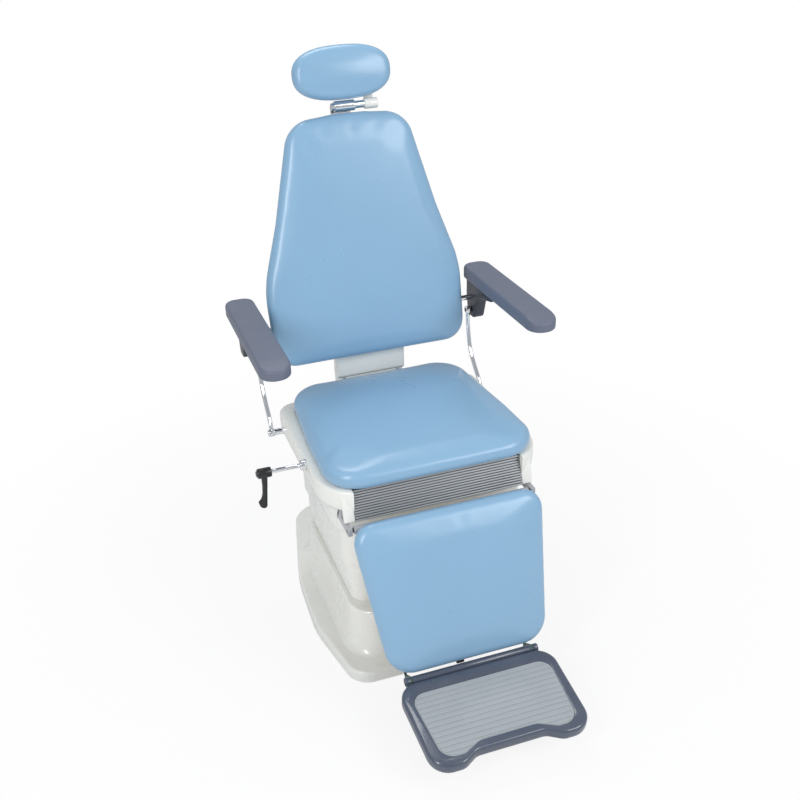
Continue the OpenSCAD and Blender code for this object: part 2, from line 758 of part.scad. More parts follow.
module link_bracket() {
  color("silver") {
    box_at(lug_x + 2 * lug_t, lug_x + 3 * lug_t, rail_rear, link_pivot.x + link_r, link_pivot.y - link_r,
      board_z);
    rod_x(hinge_tube_r - 1, lug_x + 3 * lug_t - over, link_x - gap, link_pivot.x, link_pivot.y);
    rod_x(hinge_pin_r, link_x - over, link_x + link_w + 2 * over, link_pivot.x, link_pivot.y);
    rod_x(hinge_tube_r, link_x + link_w + gap, link_x + link_w + over * 4, link_pivot.x, link_pivot.y);
  }
}
module link_bracket_left() { mirror([1, 0, 0]) link_bracket(); }
module link_bracket_right() { link_bracket(); }
actuator_x = 20;
drive_z = 436;
drive_r = 24;
drive_front = -170;
drive_rear = 70;
drive_rod_r = 8;
crank_x = 5;
crank_len = 48;
module recline_actuator() {
  end = [back_hinge.x, back_hinge.y - crank_len];
  color("black") {
    translate([actuator_x, drive_front, drive_z]) rotate([-90, 0, 0])
      cylinder(r = drive_r, h = drive_rear - drive_front);
    translate([actuator_x, 0, drive_z]) rotate([-90, 0, 0]) cylinder(r = drive_rod_r, h = end.x);
    box_at(actuator_x - drive_rod_r, actuator_x + drive_rod_r, drive_front, drive_front + cross_w,
      drive_z, board_z);
  }
}
module lever_boss() {
  color("silver") difference() {
    rod_x(lever_hub_r, -lever_boss_x, band_in - shell_half_w, lever_y, lever_z);
    rod_x(lever_r + fit, -lever_boss_x - over, band_in + over - shell_half_w, lever_y, lever_z);
  }
}
module lever_rod() {
  color("silver") rod_x(lever_r, -lever_hub_x - over, band_in - shell_half_w, lever_y, lever_z);
}
module lever_handle() {
  tip = [lever_y - lever_tip_r, lever_z - lever_drop + lever_tip_r];
  mid_x = -lever_hub_x - lever_hub_len / 2;
  color("black") {
    rod_x(lever_hub_r, -lever_hub_x - lever_hub_len, -lever_hub_x - over, lever_y, lever_z);
    hull() {
      translate([mid_x, lever_y, lever_z]) sphere(r = lever_root_r, $fn = ball_steps);
      translate([mid_x - lever_tip_r, tip.x, tip.y]) sphere(r = lever_tip_r, $fn = ball_steps);
    }
    translate([mid_x - lever_tip_r, tip.x, tip.y]) rotate([0, -lever_lip_turn, 0])
      cylinder(r = lever_lip_r, h = lever_lip_len);
  }
}
module lever_button() {
  color("dimgray") rod_x(button_r, -lever_hub_x - lever_hub_len - screw_h,
    -lever_hub_x - lever_hub_len, lever_y, lever_z);
}

module back_frame() {
  foot = back_yz(upright_foot_s, board_rear_t);
  top = back_yz(upright_top_s, board_rear_t);
  rear_top = back_yz(upright_top_s, board_rear_t - upright_d);
  rear_foot = back_yz(0, board_rear_t - upright_d);
  color("gray") difference() {
    union() {
      for (x = [-upright_x - upright_t, upright_x])
        plate_yz(x, x + upright_t, [back_hinge - [0, hinge_tube_r],
          [rear_foot.x - hinge_tube_r, back_hinge.y - hinge_tube_r],
          [rear_foot.x, back_hinge.y + 2 * hinge_tube_r],
          rear_foot, rear_top, top, foot, [foot.x, back_hinge.y + hinge_tube_r],
          back_hinge + [0, hinge_tube_r]]);
      rod_x(hinge_tube_r, -upright_x - upright_t, upright_x + upright_t, back_hinge.x, back_hinge.y);
      plate_yz(-crank_x, crank_x, [back_hinge - [hinge_tube_r, 0], back_hinge - [hinge_tube_r, crank_len],
        back_hinge + [hinge_tube_r, -crank_len], back_hinge + [hinge_tube_r, 0]]);
      in_back() for (s = cross_bar_s)
        box_at(-back_low_w * back_bar_share, back_low_w * back_bar_share, s, s + cross_w,
          board_rear_t - cross_bar_t, board_rear_t);
      in_back() for (x = [-boss_outer_x, boss_outer_x - boss_len])
        box_at(x, x + boss_len, arm_pin_s - 2 * arm_pin_r, arm_pin_s + 2 * arm_pin_r,
          arm_pin_t - 2 * arm_pin_r, board_rear_t);
    }
    rod_x(hinge_pin_r + fit, -lug_x, lug_x, back_hinge.x, back_hinge.y);
    rod_x(arm_pin_r + fit, -arm_x, arm_x, arm_pivot.x, arm_pivot.y);
  }
}
upright_foot_s = -38;
upright_top_s = 420;
upright_d = 24;
cross_bar_s = [60, 300];
cross_bar_t = 6;
back_bar_share = 0.34;
boss_outer_x = 228;
boss_len = 58;
cover_front_y = 222.2;
cover_half_w = 92;
cover_depth = 34;
hinge_cover_t = 2.5;
cover_corner_r = 14;
module hinge_cover() {
  rear = cover_front_y + cover_depth;
  top = back_yz(0, board_rear_t - shell_gap).y - shell_gap;
  outer = rounded([[-cover_half_w, cover_front_y], [cover_half_w, cover_front_y], [cover_half_w, rear],
    [-cover_half_w, rear]], [cover_corner_r, cover_corner_r, least_r, least_r]);
  color("ivory") translate([0, 0, board_z + shell_gap]) linear_extrude(top - board_z - shell_gap)
    difference() {
      polygon(outer);
      polygon(cover_inside(cover_half_w, cover_front_y, rear));
    }
}
cover_inner_r = cover_corner_r - hinge_cover_t;
function cover_inside(w, front, rear) = rounded([[hinge_cover_t - w, front + hinge_cover_t],
  [w - hinge_cover_t, front + hinge_cover_t], [w - hinge_cover_t, rear + over],
  [hinge_cover_t - w, rear + over]], [cover_inner_r, cover_inner_r, least_r, least_r]);
module back_board() {
  color("tan") in_back() translate([0, 0, board_rear_t]) linear_extrude(board_t)
    polygon(back_shape(board_inset));
}
shell_cut_gap = 4;
module back_shell() {
  color("ivory") difference() {
    in_back() translate([0, 0, board_rear_t + board_t - shell_gap]) rotate([0, 180, 0])
      skin(tray_rings(function (d) back_shape(d + shell_in), back_shell_d, shell_wall, shell_round));
    rod_x(arm_pin_r + 1, -arm_x, arm_x, arm_pivot.x, arm_pivot.y);
    in_back() box_at(-upright_x - upright_t - shell_cut_gap, upright_x + upright_t + shell_cut_gap, -over,
      shell_in + shell_round, board_rear_t - upright_d - shell_cut_gap, board_rear_t + board_t);
    in_back() box_at(-post_w_half - 1, post_w_half + 1, back_len - 3 * shell_round, back_len + over,
      post_back_t - post_t - 1, post_back_t + 1);
  }
}
module back_cushion() {
  color("skyblue") in_back() translate([0, 0, board_rear_t + board_t]) skin(cushion_rings(
    function (d) back_shape(d), back_t, back_crown, cushion_tuck, cushion_round,
    [0, back_len * back_mid_share]));
}
module arm_pin() {
  color("silver") rod_x(arm_pin_r, boss_outer_x - boss_len, arm_bracket_x + arm_pin_in,
    arm_pivot.x, arm_pivot.y);
}
module arm_pin_left() { mirror([1, 0, 0]) arm_pin(); }
module arm_pin_right() { arm_pin(); }
arm_pin_in = 24;
guide_wall_t = 4;
module post_guide() {
  outer_w = post_w_half + guide_wall_t;
  color("dimgray") in_back() difference() {
    box_at(-outer_w, outer_w, guide_s, guide_s + guide_len, post_back_t - post_t - guide_wall_t,
      board_rear_t);
    box_at(-post_w_half - fit, post_w_half + fit, guide_s - over, guide_s + guide_len + over,
      post_back_t - post_t - fit, post_back_t + fit);
  }
}
neck_s = 610;
module head_post() {
  color("silver") in_back() difference() {
    union() {
      box_at(-post_w_half, post_w_half, post_foot_s, post_top_s, post_back_t - post_t, post_back_t);
      box_at(-post_w_half, post_w_half, neck_s, post_top_s, post_back_t - post_t, head_pin_t);
      rod_local(head_eye_r, -post_w_half, post_w_half);
    }
    rod_local(head_tube_r + fit, -post_w_half - over, post_w_half + over);
  }
}
// A bar along X through the head pivot, in the backrest's plane
module rod_local(r, x0, x1) {
  translate([x0, head_pin_s, head_pin_t]) rotate([0, 90, 0]) cylinder(r = r, h = x1 - x0);
}
module head_tube() {
  color("silver") in_back() rod_local(head_tube_r, -lock_x + head_tube_r * 2, lock_x);
}
lock_arm_w = 22;
lock_arm_t = 9;
module head_lock() {
  x0 = lock_x + (lock_len - lock_arm_w) / 2;
  color("ivory") in_back() {
    rod_local(lock_r, lock_x, lock_x + lock_len);
    box_at(x0, x0 + lock_arm_w, head_pin_s, head_shell_s - head_shell_h / 4,
      head_back_t - lock_arm_t - gap, head_back_t - gap);
  }
}
head_back_t = -(head_t / 2);
head_tuck = 10;
head_shell_round = 14.5;
module head_shell() {
  x0 = lock_x + (lock_len - lock_arm_w) / 2;
  color("ivory") in_back() difference() {
    translate([0, head_shell_s, head_back_t]) rotate([0, 180, 0]) skin(tray_rings(
      function (d) oval(head_shell_w - 2 * d, head_shell_h - 2 * d, head_shell_power, head_steps),
      head_shell_d, shell_wall, head_shell_round));
    box_at(x0 - gap, x0 + lock_arm_w + gap, head_pin_s, head_shell_s, head_back_t - lock_arm_t - 2 * gap,
      head_back_t + over);
  }
}
module head_cushion() {
  color("skyblue") in_back() translate([0, head_s, head_back_t]) skin(cushion_rings(
    function (d) oval(head_w - 2 * d, head_h - 2 * d, head_power, head_steps),
    head_t, head_crown, head_tuck, cushion_round, [0, 0]));
}

arm_rear_share = 0.8;
arm_tuck = 6;
arm_round = 14.5;
module arm_pad() {
  pad = [[arm_x + arm_w / 2, arm_rear - arm_len], [arm_x + arm_w / 2, arm_rear],
    [arm_x - arm_w / 2, arm_rear], [arm_x - arm_w / 2, arm_rear - arm_len]];
  front_r = arm_w / 2 - over;
  rear_r = arm_rear_share * front_r;
  color("slategray") translate([0, 0, pad_z]) skin(cushion_rings(
    function (d) outline(pad, [front_r, rear_r, rear_r, front_r], d), arm_t - arm_crown, arm_crown,
    arm_tuck, arm_round, [arm_x, arm_rear - arm_len / 2]));
}
module arm_pad_left() { mirror([1, 0, 0]) arm_pad(); }
module arm_pad_right() { arm_pad(); }
bracket_front_y = 140;
bracket_rear_y = 296;
bracket_foot = 20;
bracket_radii = [2, 8, 30, 14, 14, 20, 2];
bracket_steps = 5;
module arm_bracket() {
  p = [[bracket_front_y, pad_z - gap], [bracket_front_y, pad_z - bracket_foot],
    [arm_pivot.x - 2 * bracket_foot, arm_pivot.y + bracket_foot / 2],
    [link_top.x - bracket_foot, link_top.y - bracket_foot],
    [link_top.x + bracket_foot, link_top.y - bracket_foot], [bracket_rear_y, arm_pivot.y],
    [bracket_rear_y, pad_z - gap]];
  color("slategray") {
    difference() {
      plate_yz(arm_bracket_x, arm_bracket_x + arm_bracket_w, rounded(p, bracket_radii, bracket_steps));
      rod_x(arm_pin_r + fit, arm_bracket_x - over, arm_bracket_x + arm_pin_in + over,
        arm_pivot.x, arm_pivot.y);
    }
    rod_x(hinge_pin_r - gap, link_x - over, arm_bracket_x + over, link_top.x, link_top.y);
  }
}
module arm_bracket_left() { mirror([1, 0, 0]) arm_bracket(); }
module arm_bracket_right() { arm_bracket(); }
// Places of the link's bends between its lower and its upper pivot
link_bend_low = [178, 476];
link_bend_mid = [246, 548];
link_bend_high = [259, 604];
link_radii = [1, 24, 24, 40, 1];
link_steps = 4;
module link_rod() {
  color("silver") difference() {
    union() {
      plate_yz(link_x, link_x + link_w, rounded(bar_outline([link_pivot, link_bend_low, link_bend_mid,
        link_bend_high, link_top], 2 * link_r), twice(link_radii), link_steps));
      rod_x(link_eye_r, link_x, link_x + link_w, link_pivot.x, link_pivot.y);
      rod_x(link_eye_r, link_x, link_x + link_w, link_top.x, link_top.y);
    }
    rod_x(hinge_pin_r + fit, link_x - over, link_x + link_w + over, link_pivot.x, link_pivot.y);
    rod_x(hinge_pin_r + fit, link_x - over, link_x + link_w + over, link_top.x, link_top.y);
  }
}
module link_rod_left() { mirror([1, 0, 0]) link_rod(); }
module link_rod_right() { link_rod(); }

module leg_frame() {
  color("gray") in_leg() difference() {
    union() {
      for (x = [-leg_bar_x - leg_bar_w, leg_bar_x])
        box_at(x, x + leg_bar_w, leg_bar_foot, leg_pin_s, leg_board_t - leg_bar_t, leg_board_t);
      for (s = [leg_bar_foot + cross_w, -leg_len / 3])
        box_at(-leg_bar_x - over, leg_bar_x + over, s, s + cross_w, leg_board_t - leg_bar_t, leg_board_t);
      translate([-leg_tube_half, leg_pin_s, leg_pin_t]) rotate([0, 90, 0])
        cylinder(r = hinge_tube_r, h = 2 * leg_tube_half);
    }
    translate([-leg_tube_half - over, leg_pin_s, leg_pin_t]) rotate([0, 90, 0])
      cylinder(r = hinge_pin_r + fit, h = 2 * leg_tube_half + 2 * over);
  }
}
module leg_hinge_pin() {
  color("dimgray") rod_x(hinge_pin_r, -cross_half_w, cross_half_w, leg_pivot.x, leg_pivot.y);
}
module leg_board() {
  color("tan") in_leg() translate([0, 0, leg_board_t]) linear_extrude(board_t)
    intersection() {
      polygon(leg_shape(leg_board_in));
      translate([-leg_top_w, -leg_len]) square([2 * leg_top_w, leg_len - leg_board_in - cross_w]);
    }
}
module leg_cushion() {
  color("skyblue") in_leg() translate([0, 0, leg_back_t]) skin(cushion_rings(
    function (d) leg_shape(d), leg_t, leg_crown, cushion_tuck, cushion_round, [0, -leg_len / 2]));
}
module foot_brackets() {
  low = foot_pin_s - foot_eye_r;
  top = leg_bar_foot + cross_w - gap;
  p = [[top, leg_board_t - leg_bar_t], [top, leg_board_t],
    [-leg_len - 2 * bracket_t, leg_board_t], [-leg_len - bracket_t / 2, foot_pin_t],
    [foot_pin_s, foot_pin_t + foot_eye_r], [low, foot_pin_t], [low, leg_board_t - leg_bar_t / 2],
    [leg_bar_foot, leg_board_t - leg_bar_t]];
  color("darkseagreen") in_leg() for (x = [-leg_bar_x, leg_bar_x - bracket_t]) difference() {
    translate([x, 0, 0]) rotate([90, 0, 90]) linear_extrude(bracket_t) polygon(p);
    translate([x - over, foot_pin_s, foot_pin_t]) rotate([0, 90, 0])
      cylinder(r = foot_pin_r + fit, h = bracket_t + 2 * over);
  }
}
centre_bar_x = -14;
module foot_centre_bar() {
  color("black") in_leg() box_at(centre_bar_x - foot_eye_r, centre_bar_x + foot_eye_r,
    foot_pin_s - foot_eye_r / 2, leg_bar_foot + cross_w, leg_board_t - leg_bar_t, leg_board_t - gap);
}
module foot_hinge_pins() {
  color("silver") for (x = [-leg_bar_x - bracket_t * 2, leg_bar_x - bracket_t * 3])
    rod_x(foot_pin_r, x, x + bracket_t * 5, foot_pivot.x, foot_pivot.y);
}
foot_lug_w = 12;
tray_low_r = 12;
tray_top_r = 8;
module foot_tray() {
  low = tray_top - foot_t;
  rings = concat([for (k = [0 : 2]) let (a = 45 * k)
      at_height(tray_shape(tray_low_r * (1 - sin(a))), low + tray_low_r * (1 - cos(a)))],
    [for (k = [0 : 3]) let (a = 30 * k)
      at_height(tray_shape(tray_top_r * (1 - cos(a))), tray_top - tray_top_r * (1 - sin(a)))],
    [at_height(mat_shape(-1), tray_top), at_height(mat_shape(0), tray_top - mat_deep)]);
  bar_half = leg_bar_x - bracket_t - gap;
  lug_half = leg_bar_x + gap + foot_lug_w;
  color("slategray") in_foot() {
    skin(rings);
    difference() {
      for (span = [[-lug_half, -leg_bar_x - gap], [-bar_half, bar_half], [leg_bar_x + gap, lug_half]]) {
        translate([span[0], 0, 0]) rotate([0, 90, 0]) cylinder(r = foot_eye_r, h = span[1] - span[0]);
        box_at(span[0], span[1], -tray_rear - foot_eye_r, 0, -foot_eye_r, 0);
      }
      for (x = [-lug_half, bar_half - foot_lug_w - over]) translate([x - over, 0, 0]) rotate([0, 90, 0])
        cylinder(r = foot_pin_r + fit, h = lug_half - bar_half + foot_lug_w + 2 * over);
    }
  }
}
mat_start_share = 0.1;
mat_rib_share = 0.88;
module foot_mat() {
  pitch = (foot_d - rim_w - rear_rim_w) / mat_ribs;
  color("lightgray") in_foot() {
    translate([0, 0, tray_top - mat_deep]) linear_extrude(mat_deep) polygon(mat_shape(gap));
    translate([0, 0, tray_top - over / 2]) linear_extrude(over) intersection() {
      polygon(mat_shape(over * 2));
      for (k = [0 : mat_ribs - 1])
        translate([-foot_w / 2, pitch * (k + mat_start_share) + rim_w - tray_front])
          square([foot_w, pitch * mat_rib_share]);
    }
  }
}

floor_plate();
base_cover();
column_shroud();
guide_column();
guide_bolts();
guide_pads();
lift_actuator();
inner_column();
lift_rod();
lift_pin();
top_plate();
bearing_outer_ring();
upper_skirt();
middle_skirt();
lower_skirt();
bearing_inner_ring();
seat_frame();
back_hinge_pin();
seat_board();
seat_cushion();
seat_housing();
ribbed_panel();
panel_screws();
link_bracket_left();
link_bracket_right();
recline_actuator();
lever_boss();
lever_rod();
lever_handle();
lever_button();
back_frame();
hinge_cover();
back_board();
back_shell();
back_cushion();
arm_pin_left();
arm_pin_right();
post_guide();
head_post();
head_tube();
head_lock();
head_shell();
head_cushion();
arm_pad_left();
arm_pad_right();
arm_bracket_left();
arm_bracket_right();
link_rod_left();
link_rod_right();
leg_frame();
leg_hinge_pin();
leg_board();
leg_cushion();
foot_brackets();
foot_centre_bar();
foot_hinge_pins();
foot_tray();
foot_mat();
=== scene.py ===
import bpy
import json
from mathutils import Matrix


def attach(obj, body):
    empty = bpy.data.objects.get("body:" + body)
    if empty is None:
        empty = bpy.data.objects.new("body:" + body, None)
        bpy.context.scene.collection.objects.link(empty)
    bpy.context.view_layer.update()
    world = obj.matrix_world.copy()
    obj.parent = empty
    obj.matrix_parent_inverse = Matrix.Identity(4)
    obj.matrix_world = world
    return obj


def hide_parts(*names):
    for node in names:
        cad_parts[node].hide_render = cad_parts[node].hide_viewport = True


bl_info = {
    "name": "Ear nose and throat chair",
    "version": (1, 0, 0),
    "blender": (4, 5, 0),
    "location": "3D View > Sidebar > Chair",
    "description": "Dresses the packed model of an ear, nose and throat treatment chair",
    "category": "Object",
}

import json
import math

import bmesh
import bpy
from mathutils import Matrix, Vector

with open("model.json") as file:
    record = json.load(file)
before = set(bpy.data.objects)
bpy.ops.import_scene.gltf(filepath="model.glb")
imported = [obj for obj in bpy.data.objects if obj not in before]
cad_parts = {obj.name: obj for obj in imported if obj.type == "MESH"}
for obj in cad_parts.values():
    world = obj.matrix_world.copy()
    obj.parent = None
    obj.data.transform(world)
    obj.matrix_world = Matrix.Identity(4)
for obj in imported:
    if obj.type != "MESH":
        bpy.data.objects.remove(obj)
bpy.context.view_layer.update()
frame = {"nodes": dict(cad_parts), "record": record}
MM = 0.001
NEAR = 1e-5  # Within this distance in metres, two places count as the same
# Ending of the finishes' names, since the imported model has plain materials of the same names
FINISH = "_finish"

# Planes that the cushions are drawn in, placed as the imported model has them
SEAT = Matrix.Identity(4)
BACK = Matrix.Translation((0, 0.206, 0.605)) @ Matrix.Rotation(math.radians(76.5), 4, "X")
LEG = Matrix.Translation((0, -0.294, 0.454)) @ Matrix.Rotation(math.radians(67.4), 4, "X")
FOOT = Matrix.Translation((0, -0.44403, 0.10918)) @ Matrix.Rotation(math.radians(7.3), 4, "X")
APRON = Matrix.Translation((0, -0.2575, 0.4335)) @ Matrix.Rotation(math.radians(-18), 4, "X")
MIRROR = Matrix.Scale(-1, 4, (1, 0, 0))
TURN_OVER = Matrix.Rotation(math.pi, 4, "Y")
# Turns a piece drawn flat so that its x, y and height run along Y, Z and X
SIDE_ON = Matrix(((0, 0, 1, 0), (1, 0, 0, 0), (0, 1, 0, 0), (0, 0, 0, 1)))

# Axes along X that things turn about, as y and z in mm
ARM_PIVOT = (264.17, 691.82)
LINK_TOP = (264.17, 655.82)
LINK_FOOT = (168, 452.2)
LEVER = (-78, 495)
MIDDLE = (0, 0)

# Tints for a finish: dust that settles on it, and painted shade in its grain's creases; and the
# photograph's camera in metres and degrees
DUST = (0.62, 0.60, 0.56, 1)
CREASE_SHADE = (0.96, 0.97, 0.98, 1)
CAMERA_SPOT = (-0.6975, -1.9589, 1.7005)
CAMERA_YAW, CAMERA_PITCH, CAMERA_LEAN = 16.7, -29.0, -2.7


def deselect():
    """Leaves edit mode with nothing selected."""
    if bpy.context.object and bpy.context.object.mode != "OBJECT":
        bpy.ops.object.mode_set(mode="OBJECT")
    bpy.ops.object.select_all(action="DESELECT")


def focus(*pieces):
    """Selects the pieces and makes the first one active."""
    deselect()
    for piece in pieces:
        piece.select_set(True)
    bpy.context.view_layer.objects.active = pieces[0]


def edit(piece):
    """Opens a piece in edit mode."""
    focus(piece)
    bpy.ops.object.mode_set(mode="EDIT")


def pick(piece, kind, test):
    """In edit mode, selects the faces, edges or corners for which the test holds."""
    bpy.ops.mesh.select_mode(type=kind)
    mesh = bmesh.from_edit_mesh(piece.data)
    for part in (*mesh.verts, *mesh.edges, *mesh.faces):
        part.select = False
    parts = {"VERT": mesh.verts, "EDGE": mesh.edges, "FACE": mesh.faces}[kind]
    for part in parts:
        if test(part):
            part.select = True
    mesh.select_flush_mode()
    bmesh.update_edit_mesh(piece.data)


def lowest(piece):
    """A test for the faces of a drawn piece's underside."""
    floor = min(v.co.z for v in bmesh.from_edit_mesh(piece.data).verts)
    return lambda face: face.normal.z < -0.9 and face.calc_center_median().z < floor + NEAR


def named(name):
    """The piece that was just added, with its name."""
    piece = bpy.context.object
    piece.name = piece.data.name = name
    return piece


def outline(name, corners, steps=8):
    """Starts a piece as a flat face, with each (x, y, radius) corner rounded, in mm."""
    deselect()
    bpy.ops.mesh.primitive_circle_add(vertices=len(corners), fill_type="NGON")
    piece = named(name)
    spots = [Vector((x, y, 0)) * MM for x, y, radius in corners]
    for vertex, spot in zip(piece.data.vertices, spots):
        vertex.co = spot
    edit(piece)
    for k, (x, y, radius) in enumerate(corners):
        spot = spots[k]
        turn = (spot - spots[k - 1]).angle(spots[(k + 1) % len(spots)] - spot)
        pick(piece, "VERT", lambda vertex: (vertex.co - spot).length < NEAR)
        bpy.ops.mesh.bevel(offset=radius * MM * math.tan(turn / 2), segments=steps,
                           affect="VERTICES")
    bpy.ops.mesh.select_mode(type="FACE")
    bpy.ops.mesh.select_all(action="SELECT")
    if bmesh.from_edit_mesh(piece.data).faces[:][0].normal.z < 0:
        bpy.ops.mesh.flip_normals()
    return piece


def oval(name, width, height, power, count=96):
    """Starts a piece as a flat oval that is squarer than an ellipse, in mm."""
    deselect()
    bpy.ops.mesh.primitive_circle_add(vertices=count, fill_type="NGON")
    piece = named(name)
    for k, vertex in enumerate(piece.data.vertices):
        turn = math.tau * k / count
        c, s = math.cos(turn), math.sin(turn)
        vertex.co = (width * MM / 2 * math.copysign(abs(c) ** (2 / power), c),
                     height * MM / 2 * math.copysign(abs(s) ** (2 / power), s), 0)
    edit(piece)
    bpy.ops.mesh.select_all(action="SELECT")
    return piece


def both_sides(half):
    """The corners of an outline, from those of its right half."""
    return half + [(-x, y, radius) for x, y, radius in reversed(half)]


def rise(height):
    """Pulls the selected face straight up by a height in mm."""
    bpy.ops.mesh.extrude_region_move(TRANSFORM_OT_translate={"value": (0, 0, height * MM)})


def step(inward, height):
    """Insets the selected face and moves the new one along its normal, in mm."""
    bpy.ops.mesh.inset(thickness=inward * MM, depth=height * MM)


def roll(width, height, steps=6, end=90):
    """Rounds the selected face's rim over a quarter of an ellipse, in steps."""
    turns = [math.radians(end * k / steps) for k in range(steps + 1)]
    for a, b in zip(turns, turns[1:]):
        step(width * (math.cos(a) - math.cos(b)), height * (math.sin(b) - math.sin(a)))


def round_both(piece, width, height, steps):
    """Rounds the rims of the selected upper face and of the lower face."""
    roll(width, height, steps)
    pick(piece, "FACE", lowest(piece))
    roll(width, height, steps)
    deselect()


def raise_up(piece, height):
    """Leaves edit mode and moves a drawn piece up by a height in mm."""
    deselect()
    piece.data.transform(Matrix.Translation((0, 0, height * MM)))


def prism(name, corners, low, high, steps=8):
    """An upright block of a rounded outline, between two heights in mm."""
    piece = outline(name, corners, steps)
    rise(high - low)
    raise_up(piece, low)
    return piece


def crown(piece, height, shares):
    """Domes the selected face with rings that shrink to the given shares."""
    last, up = 1.0, 0.0
    for share in shares:
        mesh = bmesh.from_edit_mesh(piece.data)
        face = next(face for face in mesh.faces if face.select)
        centre = face.calc_center_median_weighted()
        lift = height * (1 - share ** 2) - up
        bpy.ops.mesh.extrude_region_move(TRANSFORM_OT_translate={"value": (0, 0, lift * MM)})
        ratio = share / last
        bpy.ops.transform.resize(value=(ratio, ratio, 1), center_override=centre)
        last, up = share, up + lift


def to_levels(piece, levels):
    """Lofts the selected face through levels of half width, front, rear and height."""
    for half, front, rear, height in levels:
        bpy.ops.mesh.extrude_region_move(TRANSFORM_OT_translate={"value": (0, 0, 0)})
        corners = [v.co for v in bmesh.from_edit_mesh(piece.data).verts if v.select]
        low, high = min(v.y for v in corners), max(v.y for v in corners)
        wide = max(v.x for v in corners)
        centre = (0, (low + high) / 2, corners[0].z)
        value = (half * MM / wide, (front + rear) * MM / (high - low), 1)
        bpy.ops.transform.resize(value=value, center_override=centre)
        shift = (rear - front) * MM / 2 - centre[1]
        bpy.ops.transform.translate(value=(0, shift, height * MM - centre[2]))


def modify(piece, kind, **settings):
    """Adds a modifier with its settings and applies it."""
    focus(piece)
    bpy.ops.object.modifier_add(type=kind)
    modifier = piece.modifiers[-1]
    for key, value in settings.items():
        setattr(modifier, key, value)
    bpy.ops.object.modifier_apply(modifier=modifier.name)


def break_edges(piece, width, segments=2, angle=35):
    """Bevels every edge that is sharper than the angle."""
    modify(piece, "BEVEL", width=width * MM, segments=segments, limit_method="ANGLE",
           angle_limit=math.radians(angle), use_clamp_overlap=True)


def carve(piece, other, operation="DIFFERENCE"):
    """Cuts another piece out of this one, or keeps what they share, and drops the other."""
    modify(piece, "BOOLEAN", operation=operation, object=other, solver="EXACT")
    bpy.data.objects.remove(other)


def shell_of(piece, wall):
    """Opens a piece at its underside and gives it a wall in mm."""
    edit(piece)
    pick(piece, "FACE", lowest(piece))
    bpy.ops.mesh.delete(type="FACE")
    modify(piece, "SOLIDIFY", thickness=wall * MM, offset=-1, use_even_offset=True,
           use_quality_normals=True)


def repeat(piece, count, shift):
    """Copies a piece in a row, each copy shifted from the last in metres."""
    modify(piece, "ARRAY", count=count, use_relative_offset=False, use_constant_offset=True,
           constant_offset_displace=shift)


def box(name, low, high):
    """A sharp box between two corners in mm."""
    deselect()
    low, high = Vector(low), Vector(high)
    bpy.ops.mesh.primitive_cube_add(size=1, location=(low + high) / 2 * MM,
                                    scale=(high - low) * MM)
    bpy.ops.object.transform_apply()
    return named(name)


def block(name, low, high, edge=1.0, segments=3):
    """A box between two corners in mm, with its edges rounded."""
    piece = box(name, low, high)
    break_edges(piece, edge, segments)
    return piece


def cut_box(piece, low, high, place=SEAT):
    """Cuts a box out of a piece, from its low to its high corner in mm."""
    cutter = box("cutter", low, high)
    cutter.matrix_world = place
    carve(piece, cutter)


def bar(radius, start, end, axis, sides, turn=None):
    """Adds a sharp round bar between two x, about an axis along X. Sizes in mm."""
    deselect()
    a, b = Vector((start, *axis)) * MM, Vector((end, *axis)) * MM
    turn = turn or (b - a).to_track_quat("Z", "Y").to_euler()
    bpy.ops.mesh.primitive_cylinder_add(vertices=sides, radius=radius * MM, depth=(b - a).length,
                                        location=(a + b) / 2, rotation=turn)
    return bpy.context.object


def rod(name, radius, start, end, axis, edge, sides=48):
    """A round rod along X with its rims broken. Sizes in mm."""
    bar(radius, start, end, axis, sides)
    piece = named(name)
    bpy.ops.object.transform_apply()
    break_edges(piece, edge)
    return piece


def cut_rod(piece, radius, start, end, axis):
    """Cuts a round hole along X through a piece. Sizes in mm."""
    carve(piece, bar(radius, start, end, axis, 48, (0, math.pi / 2, 0)))


def join(*pieces):
    """Makes one piece of several, under the first one's name."""
    focus(*pieces)
    bpy.ops.object.join()
    return pieces[0]


def settle(piece, place, angle=40):
    """Moves a piece to its plane, leaves its object at the origin, and smooths its shading."""
    focus(piece)
    piece.matrix_world = place @ piece.matrix_world
    bpy.ops.object.transform_apply()
    if place.determinant() < 0:
        edit(piece)
        bpy.ops.mesh.select_all(action="SELECT")
        bpy.ops.mesh.flip_normals()
        deselect()
        piece.select_set(True)
    bpy.ops.object.shade_smooth_by_angle(angle=math.radians(angle))


def dress(piece, place, body, finish, cad, angle=40):
    """Settles a piece, gives it its finish and its body, and hides the node that it stands for."""
    settle(piece, place, angle)
    piece.data.materials.clear()
    piece.data.materials.append(bpy.data.materials[finish + FINISH])
    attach(piece, body)
    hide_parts(cad)


def tint(name, text, value):
    """A colour that can be changed."""
    return bpy.props.FloatVectorProperty(name=name, description=text, subtype="COLOR", min=0,
                                         max=1, default=value)


def length(name, text, value, least, most):
    """A length in metres that can be changed."""
    return bpy.props.FloatProperty(name=name, description=text, unit="LENGTH", default=value,
                                   min=least, max=most)


